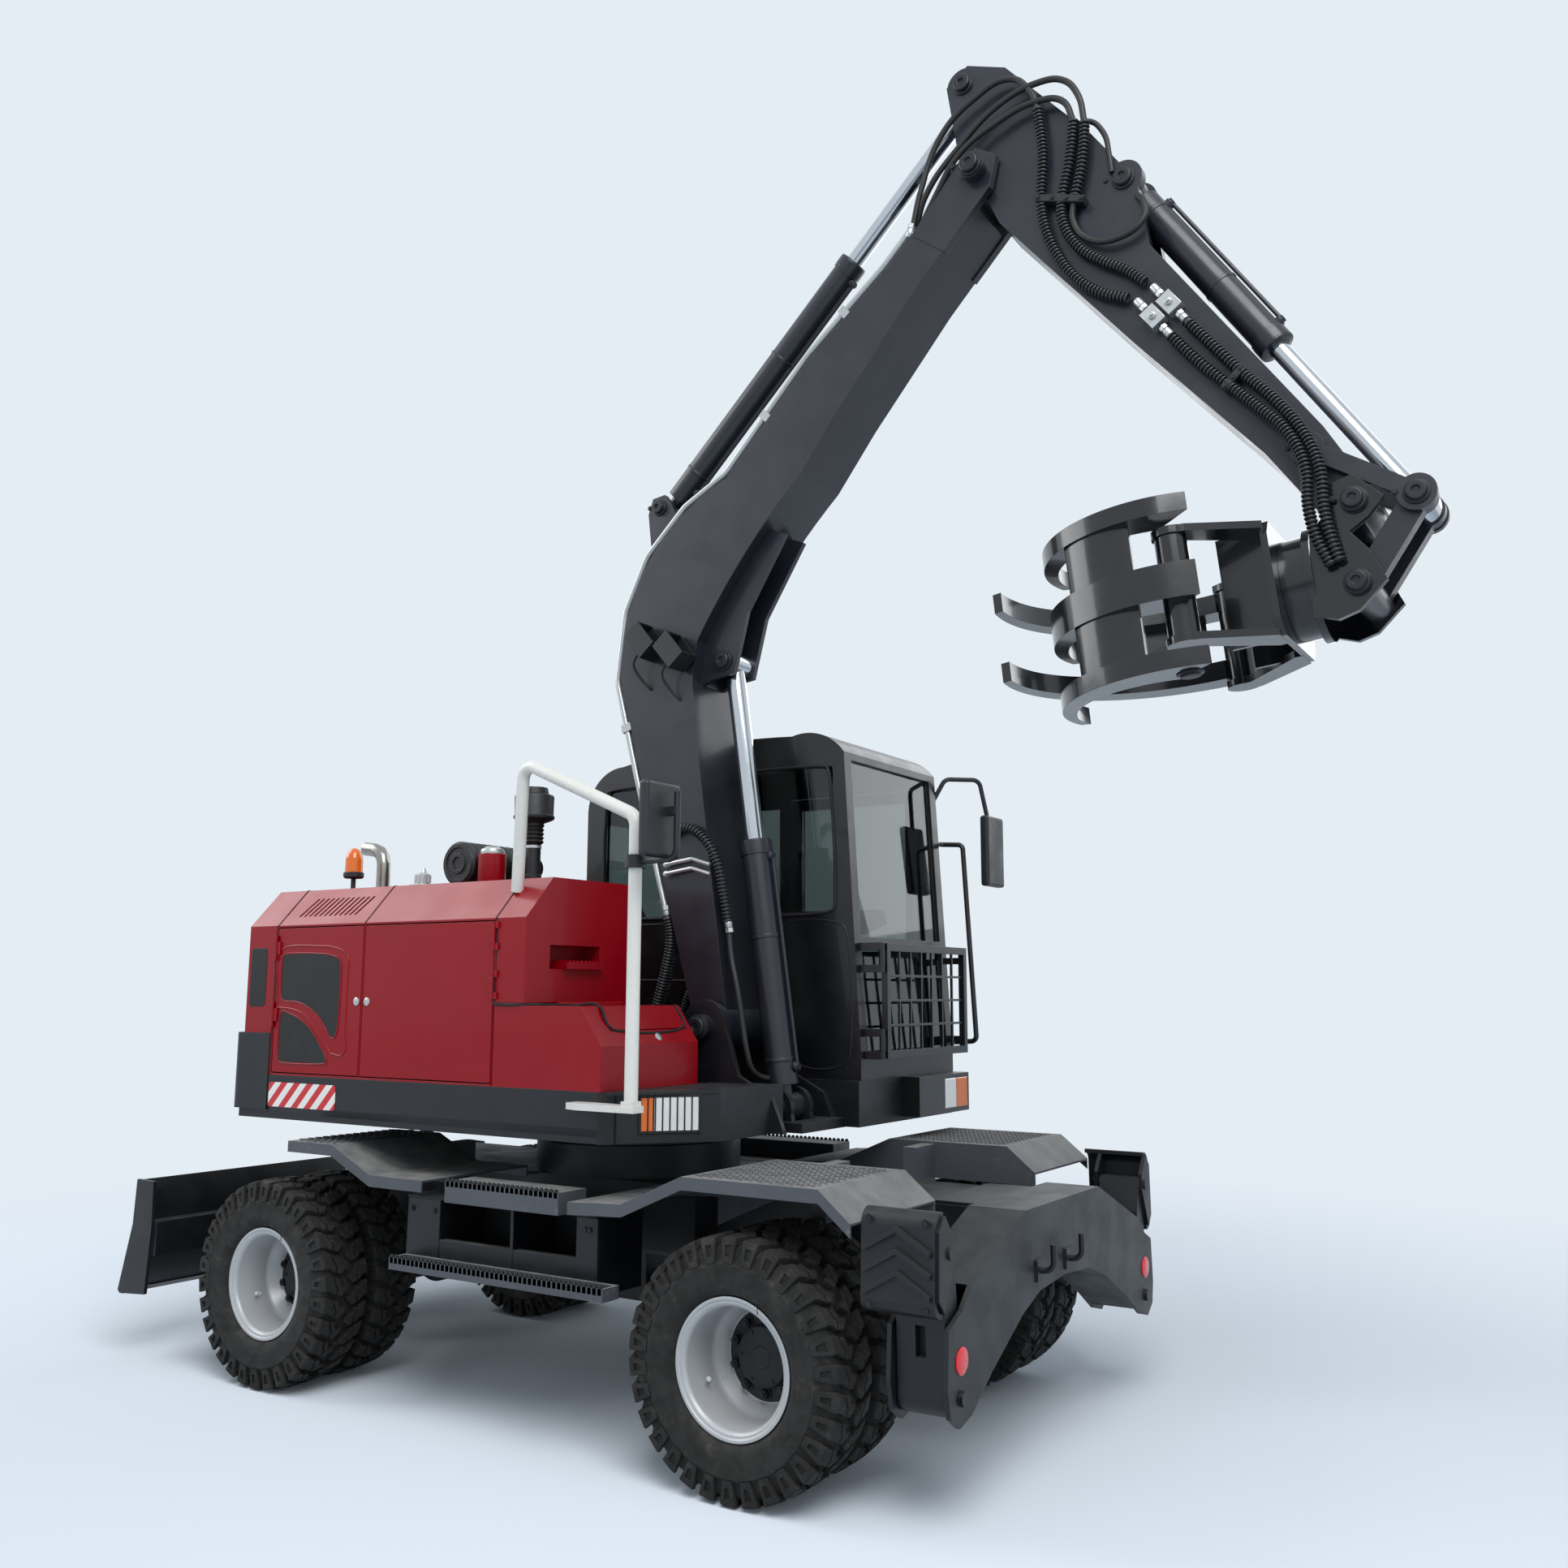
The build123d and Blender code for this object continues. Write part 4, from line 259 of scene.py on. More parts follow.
class Build:
    """Gathers simple solids into one mesh; part numbers choose the finish of what is added next."""

    def __init__(self):
        self.points, self.faces, self.parts = [], [], []
        self.part = 0

    def add(self, points, faces):
        start = len(self.points)
        self.points += [tuple(p) for p in points]
        self.faces += [tuple(start + k for k in f) for f in faces]
        self.parts += [self.part] * len(faces)
        return self

    def loft(self, rings, closed=False):
        """A skin over rings of equally many points; closed joins the last ring to the first."""
        n = len(rings[0])
        points = [p for ring in rings for p in ring]
        faces = []
        for i in range(len(rings) - (0 if closed else 1)):
            a, b = i * n, (i + 1) % len(rings) * n
            for k in range(n):
                m = (k + 1) % n
                faces.append((a + k, a + m, b + m, b + k))
        if not closed:
            faces.append(tuple(reversed(range(n))))
            faces.append(tuple(range(len(points) - n, len(points))))
        return self.add(points, faces)

    def box(self, lo, hi):
        (x0, y0, z0), (x1, y1, z1) = lo, hi
        low = [(x0, y0, z0), (x1, y0, z0), (x1, y1, z0), (x0, y1, z0)]
        high = [(x, y, z1) for x, y, _ in low]
        return self.loft([low, high])

    def prism(self, outline, axis, a, b):
        """An outline in the plane across an axis, pushed from a to b along it."""
        place = {"x": lambda u, v, w: (w, u, v), "y": lambda u, v, w: (u, w, v), "z": lambda u, v, w: (u, v, w)}[axis]
        return self.loft([[place(u, v, a) for u, v in outline], [place(u, v, b) for u, v in outline]])

    def bar(self, p, q, r, sides=16):
        """A round bar."""
        return self.turned(p, q, [(0, r), ((Vector(q) - Vector(p)).length, r)], sides)

    def spin(self, profile, centre, sides=64, closed=False):
        """A shape turned round an axle along Y: profile is (radius, distance along it)."""
        middle = Vector(centre)
        return self.loft([[Vector((r * math.cos(t), along, r * math.sin(t))) + middle for t in around(sides)]
                          for r, along in profile], closed=closed)

    def turned(self, p, q, profile, sides=24):
        """A turned shape from p towards q: profile is (distance from p, radius)."""
        p, q = Vector(p), Vector(q)
        turn = (q - p).to_track_quat("Z", "Y")
        rings = [[p + turn @ Vector((r * math.cos(t), r * math.sin(t), d))
                  for t in around(sides)] for d, r in profile]
        return self.loft(rings)

    def object(self, name, finishes, smooth=35.0, bevel=0.0):
        """The gathered mesh as an object, with doubles merged and faces turned outwards."""
        data = bpy.data.meshes.new(name)
        data.from_pydata(self.points, [], self.faces)
        data.polygons.foreach_set("material_index", self.parts)
        for f in finishes:
            data.materials.append(f)
        shell = bmesh.new()
        shell.from_mesh(data)
        bmesh.ops.remove_doubles(shell, verts=shell.verts, dist=1e-6)
        bmesh.ops.recalc_face_normals(shell, faces=shell.faces)
        shell.to_mesh(data)
        shell.free()
        data.polygons.foreach_set("use_smooth", [True] * len(data.polygons))
        data.set_sharp_from_angle(angle=math.radians(smooth))
        made = placed(name, data)
        if bevel:
            cut = made.modifiers.new("Edges", "BEVEL")
            cut.width, cut.segments, cut.limit_method = bevel, 2, "ANGLE"
            cut.angle_limit = math.radians(30)
            cut.harden_normals = False
        return made

    def held(self, name, body, slot, *finishes, stands_for=(), **settings):
        """The gathered mesh as a piece that rides on a body, in the finishes of those names."""
        return hold(self.object(name, [FINISH[f] for f in finishes], **settings), body, stands_for)


def settle(obj):
    """The evaluated object as a plain mesh of the same name, with no modifier left."""
    bpy.context.view_layer.update()
    data = bpy.data.meshes.new_from_object(obj.evaluated_get(bpy.context.evaluated_depsgraph_get()))
    name = obj.name
    bpy.data.objects.remove(obj)
    made = placed(name, data)
    data.name = name
    return made


def hold(obj, body, stands_for=()):
    """Rides the piece on a body and hides the nodes that it stands for."""
    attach(obj, body)
    if stands_for:
        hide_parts(*stands_for)
    return obj


# ---------------------------------------------------------------- geometry node trees
def tree_of(name, sockets):
    """A geometry tree with a geometry input and output and the named inputs: (name, socket kind, default)."""
    tree = bpy.data.node_groups.new(name, "GeometryNodeTree")
    tree.interface.new_socket("Geometry", in_out="INPUT", socket_type="NodeSocketGeometry")
    for title, kind, default in sockets:
        socket = tree.interface.new_socket(title, in_out="INPUT", socket_type=kind)
        if default is not None:
            socket.default_value = default
    tree.interface.new_socket("Geometry", in_out="OUTPUT", socket_type="NodeSocketGeometry")
    return tree, add(tree, "NodeGroupInput").outputs


def finish_tree(tree, geometry, material):
    """Instances made real, given their finish and sent out."""
    real = add(tree, "GeometryNodeRealizeInstances", {"Geometry": geometry}).outputs["Geometry"]
    dressed = add(tree, "GeometryNodeSetMaterial", {"Geometry": real, "Material": material})
    add(tree, "NodeGroupOutput", {"Geometry": dressed.outputs["Geometry"]})
    return tree


def tree_round_axle():
    """Copies of a shape set round an axle along Y, at equal steps."""
    tree, given = tree_of("Repeat round an axle", [
        ("Count", "NodeSocketInt", 12), ("Centre", "NodeSocketVector", None), ("Finish", "NodeSocketMaterial", None)])
    line = add(tree, "GeometryNodeMeshLine", {"Count": given["Count"], "Offset": (0.0, 0.0, 0.0)})
    step = maths(tree, "DIVIDE", 2 * math.pi, given["Count"])
    index = add(tree, "GeometryNodeInputIndex").outputs["Index"]
    angle = maths(tree, "MULTIPLY", index, step)
    turn = add(tree, "ShaderNodeCombineXYZ", {"Y": angle}).outputs["Vector"]
    copies = add(tree, "GeometryNodeInstanceOnPoints",
                 {"Points": line.outputs["Mesh"], "Instance": given["Geometry"], "Rotation": turn})
    placed = add(tree, "GeometryNodeSetPosition",
                 {"Geometry": add(tree, "GeometryNodeRealizeInstances",
                                  {"Geometry": copies.outputs["Instances"]}).outputs["Geometry"],
                  "Offset": given["Centre"]})
    return finish_tree(tree, placed.outputs["Geometry"], given["Finish"])


def tree_rows():
    """Copies of a shape in rows and columns, at two steps."""
    tree, given = tree_of("Repeat in rows", [
        ("Columns", "NodeSocketInt", 4), ("Column Step", "NodeSocketVector", None),
        ("Rows", "NodeSocketInt", 1), ("Row Step", "NodeSocketVector", None),
        ("Finish", "NodeSocketMaterial", None)])
    columns = add(tree, "GeometryNodeMeshLine", {"Count": given["Columns"], "Offset": given["Column Step"]})
    rows = add(tree, "GeometryNodeMeshLine", {"Count": given["Rows"], "Offset": given["Row Step"]})
    one = add(tree, "GeometryNodeInstanceOnPoints",
              {"Points": columns.outputs["Mesh"], "Instance": given["Geometry"]})
    all_rows = add(tree, "GeometryNodeInstanceOnPoints",
                   {"Points": rows.outputs["Mesh"], "Instance": one.outputs["Instances"]})
    return finish_tree(tree, all_rows.outputs["Instances"], given["Finish"])


def tree_bolts():
    """Hexagon heads on washers at points, each facing the way that its point says."""
    tree, given = tree_of("Bolts at points", [
        ("Head Radius", "NodeSocketFloat", 0.009), ("Head Height", "NodeSocketFloat", 0.007),
        ("Sides", "NodeSocketInt", 6), ("Finish", "NodeSocketMaterial", None)])
    half = maths(tree, "MULTIPLY", given["Head Height"], 0.5)
    head = add(tree, "GeometryNodeMeshCylinder",
               {"Vertices": given["Sides"], "Radius": given["Head Radius"], "Depth": given["Head Height"]})
    lifted = add(tree, "GeometryNodeTransform",
                 {"Geometry": head.outputs["Mesh"],
                  "Translation": add(tree, "ShaderNodeCombineXYZ", {"Z": half}).outputs["Vector"]})
    wide = maths(tree, "MULTIPLY", given["Head Radius"], 1.45)
    thin = maths(tree, "MULTIPLY", given["Head Height"], 0.4)
    washer = add(tree, "GeometryNodeMeshCylinder", {"Vertices": 14, "Radius": wide, "Depth": thin})
    joined = add(tree, "GeometryNodeJoinGeometry")
    for part in (lifted.outputs["Geometry"], washer.outputs["Mesh"]):
        tree.links.new(part, joined.inputs["Geometry"])
    facing = add(tree, "GeometryNodeInputNamedAttribute", {"Name": "facing"}, data_type="FLOAT_VECTOR")
    turn = add(tree, "FunctionNodeAlignRotationToVector", {"Vector": facing.outputs["Attribute"]}, axis="Z")
    copies = add(tree, "GeometryNodeInstanceOnPoints",
                 {"Points": given["Geometry"], "Instance": joined.outputs["Geometry"],
                  "Rotation": turn.outputs["Rotation"]})
    return finish_tree(tree, copies.outputs["Instances"], given["Finish"])


def circle(tree, count, radius):
    return add(tree, "GeometryNodeCurvePrimitiveCircle", {"Resolution": count, "Radius": radius}).outputs["Curve"]


def tree_guarded_hose():
    """A hose along a path, with the turns of its guard coil as rings at an equal pitch."""
    tree, given = tree_of("Hose with a guard coil", [
        ("Hose Radius", "NodeSocketFloat", 0.012), ("Coil Radius", "NodeSocketFloat", 0.016),
        ("Coil Wire", "NodeSocketFloat", 0.004), ("Pitch", "NodeSocketFloat", 0.011),
        ("Finish", "NodeSocketMaterial", None)])
    section = circle(tree, 10, given["Hose Radius"])
    body = add(tree, "GeometryNodeCurveToMesh",
               {"Curve": given["Geometry"], "Profile Curve": section, "Fill Caps": True})
    ring = circle(tree, 14, given["Coil Radius"])
    wire = circle(tree, 5, given["Coil Wire"])
    turn = add(tree, "GeometryNodeCurveToMesh", {"Curve": ring, "Profile Curve": wire})
    stations = add(tree, "GeometryNodeCurveToPoints",
                   {"Curve": given["Geometry"], "Length": given["Pitch"]}, mode="LENGTH")
    rings = add(tree, "GeometryNodeInstanceOnPoints",
                {"Points": stations.outputs["Points"], "Instance": turn.outputs["Mesh"],
                 "Rotation": stations.outputs["Rotation"]})
    joined = add(tree, "GeometryNodeJoinGeometry")
    for part in (body.outputs["Mesh"], rings.outputs["Instances"]):
        tree.links.new(part, joined.inputs["Geometry"])
    return finish_tree(tree, joined.outputs["Geometry"], given["Finish"])


def run_tree(obj, name, **values):
    """Runs a tree on the object with its named inputs set, and returns the plain mesh."""
    modifier = obj.modifiers.new("Repeat", "NODES")
    modifier.node_group = TREES[name]
    ids = {item.name: item.identifier for item in TREES[name].interface.items_tree if item.in_out == "INPUT"}
    for title, value in values.items():
        modifier[ids[title.replace("_", " ")]] = value
    return settle(obj)


def bolts(name, body, places, head=0.009, height=0.007, sides=6):
    """Bolt heads at places, each a point and the way it faces."""
    data = bpy.data.meshes.new(name)
    data.from_pydata([p for p, _ in places], [], [])
    facing = data.attributes.new("facing", "FLOAT_VECTOR", "POINT")
    facing.data.foreach_set("vector", [c for _, f in places for c in f])
    made = run_tree(placed(name, data), "bolts", Head_Radius=head, Head_Height=height, Sides=sides,
                    Finish=FINISH["bolt_dark"])
    return hold(made, body)


def path_object(name, points, closed=False):
    """A smooth line through points, as a curve object."""
    data = bpy.data.curves.new(name, "CURVE")
    data.dimensions = "3D"
    data.resolution_u = 8
    line = data.splines.new("BEZIER")
    line.bezier_points.add(len(points) - 1)
    for knot, p in zip(line.bezier_points, points):
        knot.co = p
        knot.handle_left_type = knot.handle_right_type = "AUTO"
    line.use_cyclic_u = closed
    return placed(name, data)


def hose(name, points, r, finish):
    """A plain hose or pipe through points, as a mesh."""
    obj = path_object(name, points)
    obj.data.bevel_depth, obj.data.bevel_resolution = r, 4
    obj.data.use_fill_caps = True
    obj.data.materials.append(finish)
    return settle(obj)


def bead(name, points, r, finish):
    """A round bead along a closed outline, as a mesh."""
    rim = path_object(name, points, closed=True)
    rim.data.bevel_depth, rim.data.bevel_resolution = r, 2
    rim.data.materials.append(finish)
    return settle(rim)


def in_rows(obj, count, step, finish, rows=1, row_step=(0.0, 0.0, 0.0)):
    """Copies of a piece at equal steps, in one or more rows."""
    return run_tree(obj, "rows", Columns=count, Column_Step=step, Rows=rows, Row_Step=row_step, Finish=FINISH[finish])


def guarded_hose(name, points, r=0.012, coil=0.0165, wire=0.0052, pitch=0.0155):
    """A hose through points inside a guard coil."""
    obj = path_object(name, points)
    made = run_tree(obj, "guarded_hose", Hose_Radius=r, Coil_Radius=coil, Coil_Wire=wire, Pitch=pitch,
                    Finish=FINISH["guard_coil"])
    made.data.polygons.foreach_set("use_smooth", [True] * len(made.data.polygons))
    return made


# ---------------------------------------------------------------- settings
class ExcavatorColours(bpy.types.PropertyGroup):
    arm: bpy.props.StringProperty(name="Arm paint", description="Paint of the boom, stick and grapple, as hex",
                                  default="#1b1e26")
    frame: bpy.props.StringProperty(name="Chassis paint", description="Paint of the chassis and skirt, as hex",
                                    default="#101216")
    hood: bpy.props.StringProperty(name="Hood paint", description="Paint of the engine hood, as hex",
                                   default="#8c0010")
    rubber: bpy.props.StringProperty(name="Tyre rubber", description="Colour of the tyres, as hex",
                                     default="#171614")


class ExcavatorWheels(bpy.types.PropertyGroup):
    lugs: bpy.props.IntProperty(name="Lugs", description="Tread lugs round each tyre", default=30, min=18, max=48)
    tread: bpy.props.FloatProperty(name="Tread depth", description="Height of the lugs over their base",
                                   default=0.024, min=0.01, max=0.04, unit="LENGTH", subtype="DISTANCE")
    nuts: bpy.props.IntProperty(name="Wheel nuts", description="Nuts round each hub", default=10, min=5, max=20)


# ---------------------------------------------------------------- stage
class EXCAVATOR_OT_stage(bpy.types.Operator):
    """Makes the camera, the pale floor and the soft lights"""
    bl_idname = "excavator.stage"
    bl_label = "Stage"

    def execute(self, context):
        scene = context.scene
        scene.view_settings.view_transform = "Standard"
        make_camera(scene)
        make_floor()
        make_lights(scene)
        return {"FINISHED"}


CAMERA_PLACE = Vector((3.9428, -4.9386, 1.6665))
CAMERA_YAW, CAMERA_PITCH, CAMERA_ROLL = math.radians(122.79), math.radians(8.61), math.radians(0.16)
CAMERA_LENS, SENSOR_W = 31.47, 36.0
FLOOR_R = 60.0
BACKDROP = "#e5edf4"


def make_camera(scene):
    """The camera at its place, turned by its yaw, pitch and roll."""
    lens = bpy.data.cameras.new("camera")
    lens.lens, lens.sensor_width = CAMERA_LENS, SENSOR_W
    lens.clip_end = 200.0
    camera = placed("camera", lens)
    forward = Vector((math.cos(CAMERA_PITCH) * math.cos(CAMERA_YAW),
                      math.cos(CAMERA_PITCH) * math.sin(CAMERA_YAW), math.sin(CAMERA_PITCH)))
    right = Vector((math.sin(CAMERA_YAW), -math.cos(CAMERA_YAW), 0))
    up = right.cross(forward)
    c, s = math.cos(CAMERA_ROLL), math.sin(CAMERA_ROLL)
    axes = (c * right + s * up, -s * right + c * up, -forward)
    turn = Matrix([[a[k] for a in axes] for k in range(3)]).to_4x4()
    camera.matrix_world = Matrix.Translation(CAMERA_PLACE) @ turn
    scene.camera = camera


def make_floor():
    """A round floor whose colour runs into the backdrop with distance, so no horizon shows."""
    data = bpy.data.meshes.new("floor")
    rim = [(FLOOR_R * math.cos(t), FLOOR_R * math.sin(t), 0) for t in around(96)]
    data.from_pydata(rim, [], [tuple(range(len(rim)))])
    floor = placed("floor", data)
    made, tree, place = blank_material("pale_studio_floor")
    distance = add(tree, "ShaderNodeVectorMath", {0: place}, operation="LENGTH").outputs["Value"]
    far = spread(tree, distance, 3.5, 9.0)
    rays = add(tree, "ShaderNodeLightPath").outputs
    seen = maths(tree, "MULTIPLY", far, rays["Is Camera Ray"])
    matt = add(tree, "ShaderNodeBsdfDiffuse", {"Color": linear("#d6dee6"), "Roughness": 1.0}).outputs["BSDF"]
    glow = add(tree, "ShaderNodeEmission", {"Color": linear(BACKDROP), "Strength": 1.0}).outputs["Emission"]
    blend = add(tree, "ShaderNodeMixShader", {0: seen, 1: matt, 2: glow})
    show(tree, blend)
    data.materials.append(made)


def make_lights(scene):
    """A pale sky, dimmer as a light than it looks, and three softboxes."""
    world = bpy.data.worlds.new("soft sky")
    world.use_nodes = True
    tree = world.node_tree
    tree.nodes.clear()
    rays = add(tree, "ShaderNodeLightPath").outputs
    seen = maths(tree, "MAXIMUM", rays["Is Camera Ray"], rays["Is Transmission Ray"])
    seen = maths(tree, "MAXIMUM", seen, rays["Is Glossy Ray"])
    strength = spread(tree, seen, 0.0, 1.0, 0.62, 1.0)
    sky = add(tree, "ShaderNodeBackground", {"Color": linear(BACKDROP), "Strength": strength})
    add(tree, "ShaderNodeOutputWorld", {"Surface": sky.outputs["Background"]})
    scene.world = world
    # Each softbox: name, power, size, place and the point it is aimed at.
    for name, power, size, place, aim in (
            ("key softbox", 700.0, 6.0, (5.5, -5.5, 9.0), (0.0, 0.0, 1.5)),
            ("rear softbox", 350.0, 6.0, (-7.0, -3.0, 7.0), (0.0, 0.0, 1.8)),
            ("fill softbox", 220.0, 7.0, (2.0, 8.0, 6.0), (0.5, 0.0, 2.0))):
        lamp = bpy.data.lights.new(name, "AREA")
        lamp.energy, lamp.size = power, size
        obj = placed(name, lamp)
        obj.location = place
        obj.rotation_euler = (Vector(aim) - Vector(place)).to_track_quat("-Z", "Y").to_euler()


# ---------------------------------------------------------------- finishes on the frame
LAMPS_FROM = BOOM_Y - 0.160      # faces of the boom's fittings past this plane are the lamps
GLOSSY = ("jaw_left", "jaw_right", "grapple_frame", "grapple_bracket")


class EXCAVATOR_OT_finishes(bpy.types.Operator):
    """Makes the finishes and the node trees, and gives every frame node its finish"""
    bl_idname = "excavator.finishes"
    bl_label = "Finishes"

    def execute(self, context):
        FINISH.update(make_finishes(context.scene.excavator_colours))
        TREES.update(axle=tree_round_axle(), rows=tree_rows(), bolts=tree_bolts(), guarded_hose=tree_guarded_hose())
        for part in frame["record"]["subparts"]:
            data = frame["nodes"][part["node"]].data
            data.materials.clear()
            data.materials.append(FINISH["grapple_gloss" if part["node"] in GLOSSY else part["material_slot"]])
        # The two lamps on the boom are of one node with the steel pipes, and stand out to the right of them.
        fittings = frame["nodes"]["boom_fittings"].data
        fittings.materials.append(FINISH["black_plastic"])
        for face in fittings.polygons:
            if face.center.y < LAMPS_FROM:
                face.material_index = 1
        return {"FINISHED"}


# ---------------------------------------------------------------- wheels
WHEEL_R = 0.43
TWIN_Y = 0.790           # from the machine's middle plane to the twin's
TYRE_OFFSET = 0.135      # from the twin's middle plane to each tyre's middle
TYRE_HALF_W = 0.1175
NUT_Y, STUD_Y, COVER_Y = 0.806, 0.826, 0.833      # seats of the hub's bolts, out from the middle plane
VALVE_TURN, SPLIT_TURN = math.radians(205), math.radians(62)
CARCASS = [              # half of a tyre's section, as (radius, distance from its middle)
    (0.2055, -0.076), (0.2325, -0.086), (0.240, -0.100), (0.262, -0.1105), (0.290, -0.1155), (0.322, -0.1160),
    (0.328, -0.1174), (0.336, -0.1174), (0.340, -0.112), (0.352, -0.104), (0.385, -0.100), (0.400, -0.090),
    (0.405, -0.045)]
RIM = [                  # section of one rim, as (radius, distance from the twin's middle plane)
    (0.150, 0.000), (0.160, 0.000), (0.170, 0.010), (0.1945, 0.040), (0.2290, 0.040), (0.2305, 0.042),
    (0.2305, 0.047), (0.2250, 0.052), (0.2050, 0.058), (0.2050, 0.212), (0.2180, 0.219), (0.2260, 0.2215),
    (0.2300, 0.225), (0.2300, 0.229), (0.2250, 0.2300), (0.2200, 0.2290), (0.2170, 0.2250), (0.2120, 0.2235),
    (0.2090, 0.2245), (0.2060, 0.2225), (0.2010, 0.2185), (0.1975, 0.213), (0.1955, 0.205), (0.1955, 0.075),
    (0.1930, 0.064), (0.1860, 0.054), (0.1560, 0.012), (0.1500, 0.012)]
HUB = [                  # as (radius, distance from the machine's middle plane)
    (0.0005, 0.600), (0.140, 0.600), (0.140, 0.745), (0.151, 0.776), (0.151, 0.803), (0.147, 0.806), (0.104, 0.807),
    (0.101, 0.829), (0.097, 0.833), (0.060, 0.836), (0.040, 0.838), (0.036, 0.8415), (0.0005, 0.8415)]
VALVE = [(0, 0.010), (0.006, 0.010), (0.006, 0.0055), (0.034, 0.0055), (0.034, 0.0075), (0.045, 0.0075)]
LUG_FACES = [            # outlines of the tread blocks on one side: (along the tread, across it)
    [(-0.031, -0.108), (0.026, -0.108), (0.032, -0.082), (0.048, -0.060), (0.026, -0.052), (0.004, -0.066),
     (-0.020, -0.070), (-0.029, -0.088)],
    [(-0.016, -0.062), (0.006, -0.058), (0.028, -0.044), (0.050, -0.052), (0.058, -0.030), (0.036, -0.006),
     (0.018, -0.004), (0.022, -0.026), (0.004, -0.040), (-0.014, -0.042)]]
SIDE_LUG = [(-0.026, 0.340), (0.020, 0.340), (0.028, 0.418), (-0.034, 0.418)]       # (along the tread, radius)
SIDE_LUG_HOLE = [(-0.013, 0.362), (0.008, 0.362), (0.011, 0.400), (-0.017, 0.400)]


def lug_pitch(build, wheels, flip):
    """The blocks and the side lug of one pitch of the tread, for one edge of the tyre."""
    shift = math.pi / wheels.lugs if flip > 0 else 0.0      # the edges stand half a pitch apart

    def on_tread(along, across, lift):
        r = WHEEL_R - 0.007 * (across / 0.1) ** 2 - lift
        t = along / WHEEL_R + shift
        return (r * math.sin(t), across, r * math.cos(t))

    def on_side(along, r, sunk=0.0):
        out = TYRE_HALF_W - 0.0005 - max(0.0, r - 0.36) * 0.13 - sunk
        return edge_point(along, r, out)

    def edge_point(along, r, out):
        t = along / WHEEL_R + shift
        return (r * math.sin(t), flip * out, r * math.cos(t))

    for outline in LUG_FACES:
        outline = [(a, -w * flip) for a, w in outline]
        u, v = (sum(p[k] for p in outline) / len(outline) for k in (0, 1))
        inset = [(a + (u - a) * 0.07, w + (v - w) * 0.07) for a, w in outline]
        foot = [(a - (u - a) * 0.08, w - (v - w) * 0.04) for a, w in outline]
        build.loft([[on_tread(a, w, lift) for a, w in shape]
                    for shape, lift in ((foot, wheels.tread), (outline, 0.002), (inset, 0.0))])
    # The lug's flank on the sidewall is a frame round a sunk rectangle.
    build.loft([[edge_point(a * 1.06, r, 0.098) for a, r in SIDE_LUG], [on_side(a, r) for a, r in SIDE_LUG],
                [on_side(a, r) for a, r in SIDE_LUG_HOLE], [on_side(a, r, 0.007) for a, r in SIDE_LUG_HOLE]])


def make_tyres(name, body, x, side, wheels):
    """The two tyres of a twin wheel: their bodies in one piece, the tread of each in its own."""
    centre_y = [side * (TWIN_Y + k * TYRE_OFFSET) for k in (-1, 1)]
    loop = CARCASS + [(r, -w) for r, w in reversed(CARCASS)]
    carcass = Build()
    for y in centre_y:
        carcass.spin(loop, (x, y, WHEEL_R), sides=96, closed=True)
    carcass.held(f"tyre_body_{name}", body, "tyre_rubber", "tyre_rubber", smooth=50, stands_for=[f"tyres_{name}"])
    for k, y in enumerate(centre_y):
        pitch = Build()
        for flip in (-1, 1):
            lug_pitch(pitch, wheels, flip)
        lugs = pitch.object(f"tyre_tread_{name}_{k}", [FINISH["tyre_rubber"]], smooth=30)
        lugs = run_tree(lugs, "axle", Count=wheels.lugs, Centre=(x, y, WHEEL_R), Finish=FINISH["tyre_rubber"])
        hold(lugs, body)


def make_rim(name, body, x, side, wheels):
    """Two dished discs back to back, each rim with a loose side ring, the dark hub, its bolts and the valve."""
    rim = Build()
    for way in (1, -1):
        rim.spin([(r, side * (TWIN_Y + way * a)) for r, a in RIM], (x, 0, WHEEL_R), sides=96, closed=True)
    rim.held(f"rim_{name}", body, "rim_silver", "rim_silver", smooth=40, stands_for=[f"rims_{name}"])
    hub = Build().spin([(r, side * y) for r, y in HUB], (x, 0, WHEEL_R))
    hub.held(f"hub_{name}", body, "rim_silver", "cast_dark")

    def ring(count, r, y, start=0.0):
        return [((x + r * math.cos(t), side * y, WHEEL_R + r * math.sin(t)), (0, side, 0))
                for t in around(count, start)]

    bolts(f"wheel_nuts_{name}", body, ring(wheels.nuts, 0.124, NUT_Y, 0.5), head=0.0165, height=0.024)
    bolts(f"wheel_studs_{name}", body, ring(wheels.nuts, 0.124, STUD_Y, 0.5), head=0.0085, height=0.010, sides=12)
    bolts(f"hub_cover_bolts_{name}", body, ring(6, 0.086, COVER_Y), head=0.007, height=0.005)
    radial, split = (Vector((math.cos(t), 0, math.sin(t))) for t in (VALVE_TURN, SPLIT_TURN))
    foot = Vector((x, side * 0.900, WHEEL_R)) + radial * 0.1955
    valve = Build().turned(foot, foot - radial * 0.030 + Vector((0, side * 0.035, 0)), VALVE, sides=10)
    notch = Vector((x, side * 1.0195, WHEEL_R)) + split * 0.222      # the split of the side ring
    valve.part = 1
    valve.bar(notch - Vector((0, 0, 0.010)), notch + Vector((0, 0, 0.010)), 0.0016, 6)
    valve.held(f"valve_{name}", body, None, "fitting_zinc", "seal_rubber")


